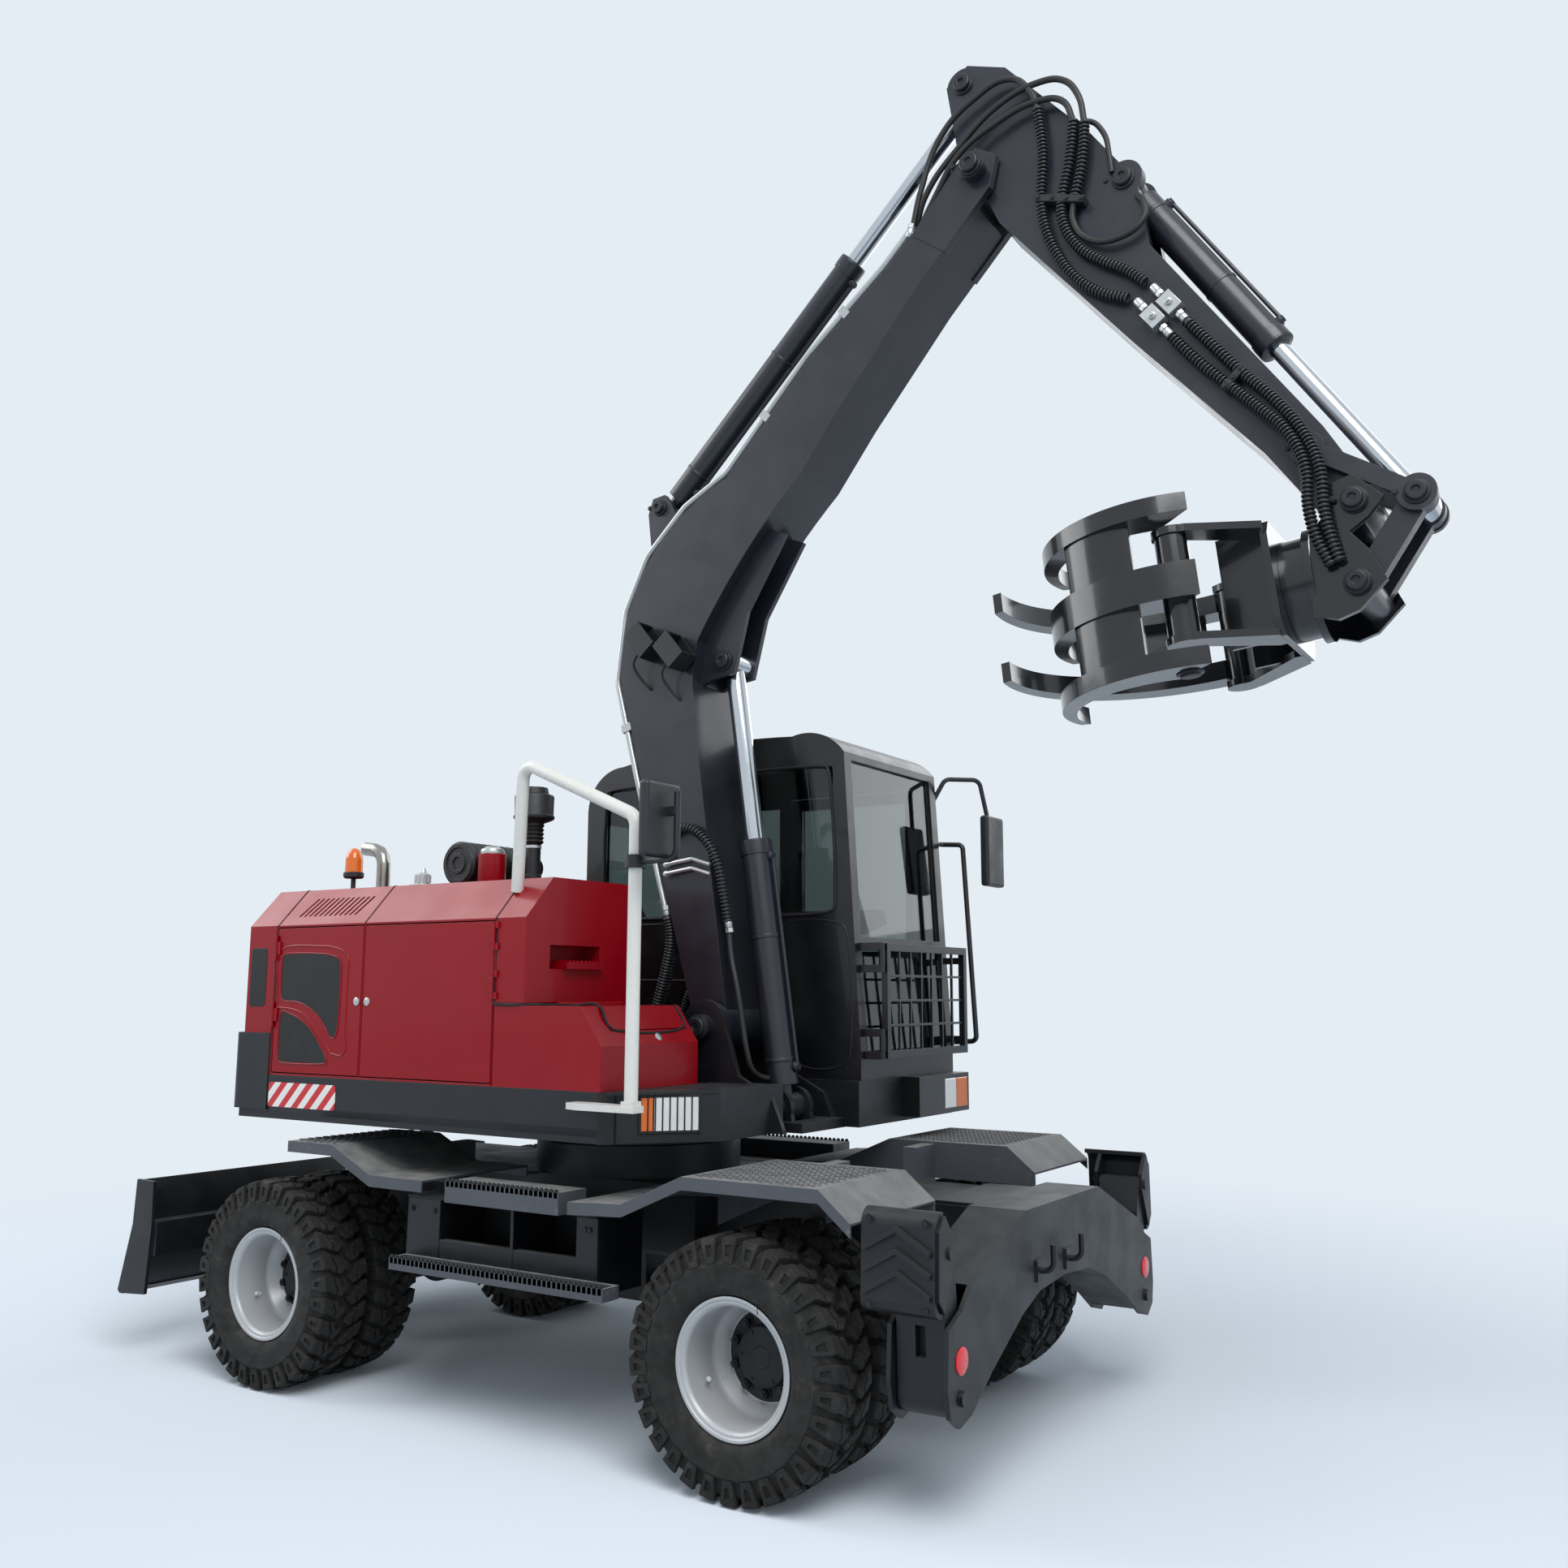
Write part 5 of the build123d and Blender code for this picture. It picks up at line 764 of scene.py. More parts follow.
class EXCAVATOR_OT_wheels(bpy.types.Operator):
    """Makes the eight tyres with their lugs, the rims, hubs, nuts and valves"""
    bl_idname = "excavator.wheels"
    bl_label = "Wheels"

    def execute(self, context):
        wheels = context.scene.excavator_wheels
        for end in ("steered", "fixed"):
            for name, side in SIDES:
                low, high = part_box(f"tyres_{end}_{name}")
                place = (f"{end}_{name}", f"wheel_{end}_{name}", (low.x + high.x) / 2, side, wheels)
                make_tyres(*place)
                make_rim(*place)
        return {"FINISHED"}


# ---------------------------------------------------------------- places on the machine
PINS = {j["name"]: Vector(j["pos_m"]) for j in frame["record"]["behaviour"]["joints"] if "pos_m" in j}
LIFT_EYE, STICK_LUG, BRACKET_EYE = (0.560, 3.093), (1.762, 5.369), (3.172, 2.996)      # (x, z)
SKIN_Y = BOOM_Y - 0.112                     # the stick's right face
HOOD_SIDE, CAB_SIDE = -1.0, 0.130           # their right sides, along y
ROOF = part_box("exhaust")[0][2]              # the hood's roof
PIPE_ROWS = (-0.227, -0.195, 0.011, 0.043)  # the boom's steel pipes, along y
ACROSS = Vector((0, 1, 0))


def flat(points, y):
    """Points of the side view, (x, z), at one distance y."""
    return [(x, y, z) for x, z in points]


def slanted(x, z, along, half_long, half_short):
    """Corners, in the side view, of a rectangle that lies along a direction."""
    dx, dz = along
    return [(x + dx * a - dz * b, z + dz * a + dx * b)
            for a, b in ((-half_long, -half_short), (half_long, -half_short),
                         (half_long, half_short), (-half_long, half_short))]


def across_joint(obj):
    """Bakes a hose's place into its mesh; the hose rides on no body."""
    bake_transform(obj)


def pin_end(build, x, z, y, side, r):
    """A pin's end with its bevel, its drilled middle and the collar behind it."""
    face = Vector((x, y, z))
    build.turned(face, face + side * ACROSS,
                 [(0, r * 1.25), (0.007, r * 1.25), (0.008, r), (0.022, r), (0.026, r * 0.88), (0.026, r * 0.42),
                  (0.018, r * 0.38), (0.018, r * 0.02)], 28)


def ferrule(build, p, q, r=0.013):
    """A crimped hose end with its hexagon nut, from p towards q."""
    build.turned(p, q, [(0, r), (0.004, r * 1.25), (0.034, r * 1.25), (0.038, r * 0.9)], 14)
    build.turned(p, q, [(0.038, r * 1.35), (0.056, r * 1.35), (0.058, r * 1.1)], 6)


# ---------------------------------------------------------------- pins and glands
JOINT_PINS = (      # body, joint, half width over the eyes, pin radius
    ("boom", "stick_swing", 0.209, 0.040), ("boom", "stick_barrel_swing", 0.078, 0.030),
    ("stick", "tool_barrel_swing", 0.112, 0.036), ("stick", "rocker_swing", 0.148, 0.032),
    ("rocker", "push_link_swing", 0.148, 0.034), ("stick", "tool_tilt", 0.200, 0.034))
EYE_PINS = (        # name, body, place, half width over the eyes, pin radius
    ("pin_ends_lift_eye", "boom", LIFT_EYE, 0.085, 0.036),
    ("pin_ends_stick_lug", "stick", STICK_LUG, 0.112, 0.036),
    ("pin_ends_bracket", "grapple_bracket", BRACKET_EYE, 0.200, 0.034))
FOOT_PINS = (       # name, joint, distance out from the linkage's plane, pin radius
    ("pin_ends_boom_foot", "boom_lift", 0.247, 0.040), ("pin_ends_lift_foot", "boom_barrel_swing", 0.129, 0.040))
BARRELS = (         # body, joint at its foot, the rod's eye, length to the open end, outer radius
    ("boom_barrel", "boom_barrel_swing", LIFT_EYE, 1.115, 0.066),
    ("stick_barrel", "stick_barrel_swing", STICK_LUG, 1.372, 0.058),
    ("tool_barrel", "tool_barrel_swing", (3.361, 3.282), 0.921, 0.060))
PORT_SINK = 0.004        # ports start this far inside the barrel


class EXCAVATOR_OT_pins(bpy.types.Operator):
    """Makes the pin ends, collars, keeper bolts and gland rings of the linkage"""
    bl_idname = "excavator.pins"
    bl_label = "Pins and glands"

    def execute(self, context):
        for body, joint, half, r in JOINT_PINS:
            p = PINS[joint]
            build, places = Build(), []
            for side in (LEFT, RIGHT):
                pin_end(build, p.x, p.z, BOOM_Y + side * half, side, r)
                places.append(((p.x - r * 1.9, BOOM_Y + side * half, p.z + r * 0.3), (0, side, 0)))
            build.held("pin_ends_" + joint, body, "arm_paint", "bolt_dark", bevel=0.0015)
            bolts("pin_keepers_" + joint, body, places, head=0.008, height=0.007)
        for name, body, (x, z), half, r in EYE_PINS:
            build = Build()
            for side in (LEFT, RIGHT):
                pin_end(build, x, z, BOOM_Y + side * half, side, r)
            build.held(name, body, "arm_paint", "bolt_dark", bevel=0.0015)
        for name, joint, out, r in FOOT_PINS:
            build = Build()
            pin_end(build, PINS[joint].x, PINS[joint].z, BOOM_Y - out, RIGHT, r)
            build.held(name, "upper", "frame_paint", "bolt_dark", bevel=0.0015)
        for barrel in BARRELS:
            self.gland(*barrel)
        return {"FINISHED"}

    def gland(self, name, joint, eye, reach, r):
        """Rings round a barrel and at its open end, its two ports and the pipe between them."""
        p = Vector((PINS[joint].x, BOOM_Y, PINS[joint].z))
        run = (Vector((eye[0], BOOM_Y, eye[1])) - p).normalized()
        front = run.cross(ACROSS)
        if front.x < 0:
            front = -front
        build = Build()
        end = p + run * reach
        build.turned(end - run * 0.052, end, [(0, r + 0.001), (0.002, r + 0.006), (0.046, r + 0.006),
                                              (0.052, r + 0.001), (0.056, r * 0.72), (0.056, r * 0.6)], 36)
        for share in (0.16, 0.62):
            ring = p + run * reach * share
            build.turned(ring, ring + run, [(0, r + 0.0005), (0.003, r + 0.003), (0.015, r + 0.003),
                                            (0.018, r + 0.0005)], 36)
        ports = []
        for place, wide in ((p + run * 0.155, 0.022), (end - run * 0.075, 0.020)):
            port = place + front * (r - PORT_SINK)
            build.turned(port, port + front, [(0, wide), (wide - 0.006, wide), (wide - 0.003, wide - 0.006),
                                              (0.026, wide - 0.006)], 16)
            ports.append(port + front * 0.017)
        build.held("gland_" + name, name, "arm_paint", "arm_paint", bevel=0.001)
        low, high = ports
        line = [low, low + run * 0.05, (low + high) / 2, high - run * 0.05, high]
        hold(hose("barrel_pipe_" + name, line, 0.008, FINISH["arm_paint"]), name)


# ---------------------------------------------------------------- hoses
HOSE_R = 0.0125
HEAD_LOOPS = {      # over the boom's head to the stick
    "head_loop_outer": [
        (1.535, -0.227, 4.80), (1.575, -0.236, 4.93), (1.682, -0.243, 5.152), (1.821, -0.246, 5.251),
        (1.982, -0.246, 5.284), (2.071, -0.242, 5.196), (2.098, -0.238, 5.110)],
    "head_loop_middle": [
        (1.530, -0.195, 4.79), (1.600, -0.236, 4.91), (1.763, -0.245, 5.071), (1.930, -0.247, 5.185),
        (2.110, -0.245, 5.221), (2.205, -0.242, 5.195), (2.262, -0.240, 5.115), (2.286, -0.237, 4.985)],
    "head_loop_inner": [
        (1.548, -0.212, 4.77), (1.640, -0.240, 4.88), (1.760, -0.260, 5.020), (1.920, -0.250, 5.110),
        (2.106, -0.246, 5.142), (2.200, -0.243, 5.108), (2.243, -0.240, 5.005)]}
STICK_HOSES = {     # guarded, down the stick to the manifold
    "stick_hose_a": [
        (2.098, -0.238, 5.110), (2.113, -0.235, 4.918), (2.100, -0.232, 4.715), (2.108, -0.232, 4.640),
        (2.153, -0.230, 4.495), (2.235, -0.230, 4.358), (2.328, -0.230, 4.275), (2.425, -0.232, 4.225)],
    "stick_hose_b": [
        (2.243, -0.240, 5.005), (2.222, -0.235, 4.860), (2.184, -0.232, 4.695), (2.183, -0.232, 4.625),
        (2.239, -0.230, 4.494), (2.333, -0.230, 4.403), (2.425, -0.230, 4.338), (2.492, -0.232, 4.272)],
    "stick_hose_c": [(2.286, -0.237, 4.985), (2.268, -0.235, 4.813), (2.234, -0.232, 4.685)]}
PLAIN_HOSES = {     # to the tool cylinder: radius and line
    "tool_cylinder_hose": (HOSE_R, [
        (2.234, -0.232, 4.690), (2.226, -0.232, 4.600), (2.288, -0.236, 4.504), (2.400, -0.240, 4.470),
        (2.500, -0.240, 4.515), (2.500, -0.225, 4.590), (2.470, -0.205, 4.640)]),
    "stick_back_hose": (0.0105, [
        (2.222, -0.222, 4.990), (2.291, -0.220, 5.000), (2.350, -0.218, 4.936), (2.372, -0.215, 4.828),
        (2.378, -0.212, 4.76)])}
GRAPPLE_HOSES = {   # guarded, from the manifold over the stick's end to the bracket
    "grapple_hose_a": [
        (2.585, -0.232, 4.030), (2.668, -0.234, 3.920), (2.781, -0.236, 3.792), (2.880, -0.256, 3.680),
        (2.976, -0.286, 3.560), (3.036, -0.312, 3.410), (3.040, -0.318, 3.265), (3.062, -0.316, 3.150),
        (3.096, -0.306, 3.066)],
    "grapple_hose_b": [
        (2.642, -0.232, 4.075), (2.724, -0.234, 3.965), (2.822, -0.236, 3.835), (2.940, -0.258, 3.690),
        (3.038, -0.290, 3.525), (3.082, -0.312, 3.385), (3.088, -0.316, 3.255), (3.104, -0.312, 3.150),
        (3.122, -0.304, 3.076)]}
MANIFOLD_WAY = (0.58, -0.815)


class EXCAVATOR_OT_hoses(bpy.types.Operator):
    """Makes the hoses of the linkage with their guard coils, clamps, manifold and crimped ends"""
    bl_idname = "excavator.hoses"
    bl_label = "Hoses"

    def execute(self, context):
        rubber = FINISH["hose_rubber"]
        ends = Build()
        for name, points in HEAD_LOOPS.items():
            across_joint(hose(name, points, HOSE_R, rubber))
            ferrule(ends, Vector(points[0]) - Vector((0.02, 0, 0.045)), Vector(points[1]), HOSE_R)
        ends.held("head_loop_ferrules", "boom", "pipe_steel", "fitting_zinc", smooth=50)
        for name, points in STICK_HOSES.items():
            hold(guarded_hose(name, points), "stick")
        for name, (r, points) in PLAIN_HOSES.items():
            hold(hose(name, points, r, rubber), "stick")
        self.clamp("stick_hose_clamp", (2.180, 4.700), (0.945, -0.327), 0.205, 3)
        self.clamp("stick_lower_clamp", (2.800, 3.812), (0.74, 0.67), 0.100, 2)
        self.manifold()
        for name, points in GRAPPLE_HOSES.items():
            across_joint(guarded_hose(name, points))
        self.lift_hoses(rubber)
        self.foot_hoses()
        return {"FINISHED"}

    def clamp(self, name, middle, way, length, gaps):
        """A bar across the stick's hoses, bolted between them and at its ends."""
        x, z = middle
        face = SKIN_Y - 0.050
        bar = Build().prism(slanted(x, z, way, length / 2, 0.014), "y", face, SKIN_Y)
        bar.held(name, "stick", "black_plastic", "black_plastic", bevel=0.003)
        places = []
        for k in range(gaps + 1):
            a = (k / gaps - 0.5) * (length - 0.022)
            places.append(((x + way[0] * a, face, z + way[1] * a), (0, -1, 0)))
        bolts(name + "_bolts", "stick", places, head=0.008, height=0.006)

    def manifold(self):
        """Two plated valve blocks where the grapple's hoses are joined."""
        build = Build()
        run = Vector((MANIFOLD_WAY[0], 0, MANIFOLD_WAY[1]))
        for x, z in ((2.522, 4.120), (2.584, 4.158)):
            build.prism(slanted(x, z, MANIFOLD_WAY, 0.040, 0.030), "y", SKIN_Y - 0.048, SKIN_Y)
            mid = Vector((x, SKIN_Y - 0.048, z))
            build.turned(mid, mid - ACROSS, [(0, 0.016), (0.010, 0.016), (0.010, 0.010), (0.020, 0.009)], 6)
            for way in (-1, 1):
                start = Vector((x, SKIN_Y - 0.026, z)) + run * way * 0.108
                ferrule(build, start, start - run * way, HOSE_R)
        build.held("grapple_manifold", "stick", "pipe_steel", "fitting_zinc", smooth=40, bevel=0.0015)

    def lift_hoses(self, rubber):
        """The hose from the boom's side to the lift cylinder: its lower runs meet at the upper frame."""
        hold(guarded_hose("lift_hose_guarded", [
            (0.350, -0.262, 2.330), (0.430, -0.272, 2.358), (0.525, -0.270, 2.312), (0.585, -0.255, 2.215),
            (0.612, -0.232, 2.060), (0.625, -0.220, 1.960)]), "boom")
        fittings = Build()
        ferrule(fittings, Vector((0.625, -0.220, 1.965)), Vector((0.640, -0.215, 1.88)), 0.013)
        ferrule(fittings, Vector((0.318, -0.249, 2.315)), Vector((0.345, -0.261, 2.328)), 0.013)
        for z in (2.205, 2.165):
            bend = (0.47, -0.270, z + 0.018)
            fittings.turned((0.330, -0.247, z), (0.330, -0.30, z),
                            [(0, 0.014), (0.018, 0.014), (0.020, 0.009), (0.03, 0.009)], 6)
            fittings.bar((0.330, -0.270, z), bend, 0.009, 12)
            fittings.bar(bend, (0.560, -0.262, z - 0.01), 0.009, 12)
        fittings.held("lift_hose_fittings", "boom", "pipe_steel", "fitting_zinc", smooth=50)
        across_joint(hose("lift_hose_upper", [
            (0.638, -0.226, 1.900), (0.665, -0.246, 1.800), (0.700, -0.262, 1.700), (0.720, -0.266, 1.620)],
            0.012, rubber))
        across_joint(hose("lift_hose_lower", [
            (0.720, -0.266, 1.620), (0.738, -0.266, 1.520), (0.756, -0.262, 1.420), (0.764, -0.238, 1.355),
            (0.775, -0.185, 1.322), (0.790, -0.155, 1.315)],
            0.012, rubber))

    def foot_hoses(self):
        """Hoses from the boom's steel pipes down into the upper frame."""
        for k, y in enumerate(PIPE_ROWS):
            points = [(0.312, y, 1.985), (0.330, y, 1.900), (0.306, y, 1.760), (0.262 - 0.01 * k, y, 1.610),
                      (0.222 - 0.012 * k, y, 1.470), (0.240, y, 1.330), (0.300, y, 1.240)]
            made = guarded_hose("foot_hose_%d" % (k + 1), points, r=0.013, coil=0.0175, pitch=0.013)
            across_joint(made)
        ends = Build()
        for y in PIPE_ROWS:
            ferrule(ends, Vector((0.313, y, 1.975)), Vector((0.300, y, 2.05)), 0.015)
        ends.held("foot_hose_ferrules", "boom", "pipe_steel", "fitting_zinc", smooth=50)


# ---------------------------------------------------------------- hood
# Outlines on the hood's right side, as (x, z).
VENT_UPPER = [
    (-1.226, 1.812), (-1.216, 1.822), (-0.990, 1.824), (-0.900, 1.815), (-0.846, 1.795), (-0.840, 1.780),
    (-0.844, 1.500), (-0.852, 1.478), (-0.868, 1.466), (-0.888, 1.470), (-0.930, 1.520), (-0.985, 1.566),
    (-1.050, 1.598), (-1.112, 1.616), (-1.216, 1.626), (-1.226, 1.640)]
VENT_LOWER = [
    (-1.222, 1.562), (-1.212, 1.574), (-1.160, 1.566), (-1.100, 1.548), (-1.040, 1.518), (-0.985, 1.475),
    (-0.940, 1.425), (-0.905, 1.376), (-0.905, 1.364), (-0.916, 1.358), (-1.212, 1.358), (-1.222, 1.368)]
VENT_CORNER = [
    (-1.445, 1.842), (-1.435, 1.852), (-1.345, 1.852), (-1.335, 1.842), (-1.335, 1.606), (-1.345, 1.594),
    (-1.435, 1.594), (-1.445, 1.604)]
PRESSED_RIM = [
    (-1.250, 1.560), (-1.254, 1.700), (-1.250, 1.835), (-1.225, 1.850), (-0.990, 1.856), (-0.860, 1.842),
    (-0.806, 1.815), (-0.798, 1.700), (-0.798, 1.500), (-0.800, 1.402), (-0.880, 1.400)]
PRESSED_ARCH = [
    (-0.880, 1.400), (-0.930, 1.462), (-0.985, 1.515), (-1.050, 1.556), (-1.120, 1.580), (-1.250, 1.592)]
TOOL_BOX_SEAL = [
    (0.060, -1.000, 1.614), (0.200, -0.998, 1.614), (0.262, -0.960, 1.614), (0.268, -0.905, 1.613),
    (0.400, -0.901, 1.612), (0.510, -0.901, 1.610), (0.566, -0.900, 1.532), (0.574, -0.860, 1.518),
    (0.574, -0.470, 1.518), (0.560, -0.430, 1.536), (0.510, -0.426, 1.611)]
ELBOW = [(-1.180, ROOF), (-1.180, 2.200), (-1.180, 2.258), (-1.188, 2.292), (-1.210, 2.318), (-1.244, 2.331),
         (-1.308, 2.3395)]
# What stands on the roof, as (distance along, radius), and the parts' numbers in its list of finishes.
BEACON_FOOT = [(0, 0.020), (0.004, 0.020), (0.006, 0.011), (0.060, 0.011), (0.062, 0.040), (0.068, 0.046),
               (0.086, 0.046), (0.090, 0.042)]
BEACON_LENS = [(0, 0.040), (0.06, 0.039), (0.085, 0.035), (0.102, 0.026), (0.112, 0.012), (0.114, 0.002)]
BREATHER = [(0, 0.072), (0.006, 0.072), (0.010, 0.060), (0.024, 0.058), (0.028, 0.044), (0.030, 0.034),
            (0.070, 0.034), (0.074, 0.030), (0.080, 0.018), (0.100, 0.012), (0.102, 0.004)]
DRUM_END = [(0, 0.002), (0.0, 0.028), (-0.006, 0.030), (-0.006, 0.046), (0, 0.048), (0, 0.070), (-0.005, 0.072),
            (-0.005, 0.088), (0.004, 0.094)]
CANISTER = [(0, 0.060), (0.004, 0.062), (0.150, 0.062), (0.153, 0.058)]
CANISTER_CAP = [(0, 0.052), (0.010, 0.054), (0.022, 0.050), (0.028, 0.036), (0.034, 0.030), (0.036, 0.004)]
CLEANER_PIPE = [(0, 0.040), (0.06, 0.040), (0.064, 0.034), (0.196, 0.034)]
CLEANER_HEAD = [(0.292, 0.044), (0.306, 0.080), (0.312, 0.090), (0.322, 0.092), (0.330, 0.086), (0.410, 0.088),
                (0.418, 0.084), (0.424, 0.064), (0.452, 0.058), (0.456, 0.004)]
BLACK, AMBER, PLATED, RED, RED_BASE, BAND = range(6)


def stand(build, part, x, y, profile, sides, lift=0.0):
    """A turned shape that stands on the hood's roof."""
    build.part = part
    build.turned((x, y, ROOF + lift), (x, y, ROOF + 1), profile, sides)


class EXCAVATOR_OT_hood(bpy.types.Operator):
    """Makes the hood's vents, seams and locks, and what stands on its roof"""
    bl_idname = "excavator.hood"
    bl_label = "Hood"

    def execute(self, context):
        self.vents()
        self.seams()
        self.roof()
        self.exhaust()
        self.plate_and_locks()
        return {"FINISHED"}

    def vents(self):
        """Two dark vents in the rear door inside a pressed outline, and one at the corner."""
        red = FINISH["hood_paint"]
        for name, body, outlines in (("door_vents", "hood_door_rear", (VENT_UPPER, VENT_LOWER)),
                                     ("corner_vent", "upper", (VENT_CORNER,))):
            build = Build()
            for outline in outlines:
                build.prism(outline, "y", HOOD_SIDE - 0.0015, HOOD_SIDE + 0.001)
            build.held(name, body, "black_mesh", "black_mesh", bevel=0.0006)
        for name, points in (("door_pressed_rim", PRESSED_RIM), ("door_pressed_arch", PRESSED_ARCH)):
            hold(hose(name, flat(points, HOOD_SIDE + 0.001), 0.005, red), "hood_door_rear")
        for name, points in (("vent_rim_upper", VENT_UPPER), ("vent_rim_lower", VENT_LOWER)):
            hold(bead(name, flat(points, HOOD_SIDE - 0.0005), 0.0035, red), "hood_door_rear")

    def seams(self):
        """Shut lines over the shoulder and down the corners, and the seal over the tool box."""
        wall, shoulder, roof = HOOD_SIDE - 0.0003, 1.950, 2.1153
        build = Build()
        for x in (-1.270, -0.700, 0.060):
            build.bar((x, wall, shoulder - 0.005), (x, wall, shoulder + 0.001), 0.0028, 6)
            build.bar((x, wall, shoulder), (x, -0.8503, roof), 0.0028, 6)
            build.bar((x, -0.8503, roof), (x, -0.700, roof), 0.0024, 6)
        for x, foot in ((-1.276, 1.302), (0.066, 1.625)):
            build.bar((x, wall, foot), (x, wall, shoulder), 0.0028, 6)
        build.held("hood_shut_lines", "upper", "black_plastic", "seal_rubber")
        hold(hose("tool_box_seal", TOOL_BOX_SEAL, 0.0055, FINISH["seal_rubber"]), "upper")

    def roof(self):
        """Beacon, breather, air filter drum, canister and pre-cleaner on the roof."""
        build = Build()
        stand(build, BLACK, -1.150, -0.700, BEACON_FOOT, 28)
        stand(build, AMBER, -1.150, -0.700, BEACON_LENS, 28, lift=0.088)
        stand(build, PLATED, -0.800, -0.600, BREATHER, 24)
        for t in around(10):
            c = Vector((-0.800 + 0.034 * math.cos(t), -0.600 + 0.034 * math.sin(t), ROOF + 0.034))
            build.bar(c, c + Vector((0, 0, 0.034)), 0.0045, 6)
        build.part = RED_BASE
        build.box((-0.885, -0.665, ROOF), (-0.715, -0.535, ROOF + 0.008))
        build.part = BLACK
        ribs = [(0.002 + 0.040 * k + along, r) for k in range(9)
                for along, r in ((0.001, 0.094), (0.006, 0.100), (0.030, 0.100), (0.036, 0.094))]
        drum = Vector((-0.620, -0.562, 2.232))
        build.turned(drum, drum + ACROSS, DRUM_END + ribs + [(0.362, 0.060), (0.366, 0.002)], 40)
        for y in (-0.520, -0.270):
            build.box((-0.690, y, ROOF), (-0.550, y + 0.030, 2.180))
        build.turned((-0.600, -0.200, 2.232), (-0.300, -0.200, 2.232), [(0, 0.045), (0.12, 0.045)], 20)
        stand(build, RED, -0.450, -0.520, CANISTER, 32)
        stand(build, PLATED, -0.450, -0.520, CANISTER_CAP, 24, lift=0.152)
        folds = [(up + 0.018 * k, r) for k in range(5) for up, r in ((0.200, 0.040), (0.209, 0.047))]
        stand(build, BLACK, -0.300, -0.420, CLEANER_PIPE + folds + CLEANER_HEAD, 36)
        stand(build, BAND, -0.300, -0.420, [(0, 0.037), (0.012, 0.037)], 24, lift=0.180)
        build.held("roof_units", "upper", "black_plastic", "black_plastic", "amber_lens", "fitting_zinc", "hood_paint",
                   "hood_paint", "fitting_zinc", smooth=40, stands_for=["roof_fittings"])

    def exhaust(self):
        """The stainless elbow: up its outside and back down its bore."""
        line = [Vector((x, -0.500, z)) for x, z in ELBOW]
        last = len(line) - 1
        rings = []
        for radius, order in ((0.0320, range(last + 1)), (0.0290, range(last, -1, -1))):
            for k in order:
                run = (line[min(k + 1, last)] - line[max(k - 1, 0)]).normalized()
                up = run.cross(ACROSS)
                rings.append([line[k] + ACROSS * (radius * math.cos(t)) + up * (radius * math.sin(t))
                              for t in around(32)])
        Build().loft(rings).held("exhaust_elbow", "upper", "pipe_steel", "exhaust_steel", smooth=60,
                                 stands_for=["exhaust"])

    def plate_and_locks(self):
        """The striped plate on the skirt, the locks, and the teeth of the sunken step."""
        r, (x0, x1), (z0, z1) = 0.014, (-1.272, -0.836), (1.166, 1.270)
        corners = []
        for cx, cz, start in ((x1 - r, z1 - r, 0), (x0 + r, z1 - r, 90), (x0 + r, z0 + r, 180), (x1 - r, z0 + r, 270)):
            for t in (math.radians(start + 22.5 * step) for step in range(5)):
                corners.append((cx + r * math.cos(t), cz + r * math.sin(t)))
        plate = Build().prism(corners, "y", HOOD_SIDE - 0.0025, HOOD_SIDE + 0.0005)
        plate.held("stripe_plate", "upper", "frame_paint", "stripe_tape")
        build = Build()
        for place, way in (((0.592, -0.640, 1.490), (1, 0, 0.65)), ((-0.730, HOOD_SIDE, 1.62), (0, -1, 0)),
                           ((-0.665, HOOD_SIDE, 1.62), (0, -1, 0))):
            p, way = Vector(place), Vector(way)
            build.turned(p - way * 0.002, p + way, [(0, 0.017), (0.007, 0.017), (0.010, 0.012), (0.010, 0.004)], 20)
        build.held("door_locks", "upper", "pipe_steel", "fitting_zinc")
        tooth = Build().prism([(-0.006, 0), (0.006, 0), (0.002, 0.010), (-0.002, 0.010)], "x", 0.150, 0.246)
        tooth = tooth.object("step_teeth_hood", [FINISH["hood_paint"]])
        tooth.data.transform(Matrix.Translation((0, -0.770, 1.777)))
        hold(in_rows(tooth, 9, (0.0, 0.024, 0.0), "hood_paint"), "upper")


# ---------------------------------------------------------------- chassis
BAYS = ((-0.205, 0.172), (0.187, 0.500))      # open bays of a side box, along x
BAY_LIP = 0.704
SHEET = 0.008                                 # wall of a side box
STEPS = (       # name, first tooth's x, teeth, outer y, foot and top of the teeth, distance between them
    ("lower", -0.376, 46, 1.0745, 0.612, 0.646, 0.0235), ("upper", -0.104, 24, 1.0545, 0.920, 0.952, 0.0240))
LOZENGE = [(-0.015, 0), (-0.008, 0.004), (0.008, 0.004), (0.015, 0), (0.008, -0.004), (-0.008, -0.004)]
REFLECTOR = [(-0.004, 0.042), (0.003, 0.042), (0.006, 0.036), (0.006, 0.004)]


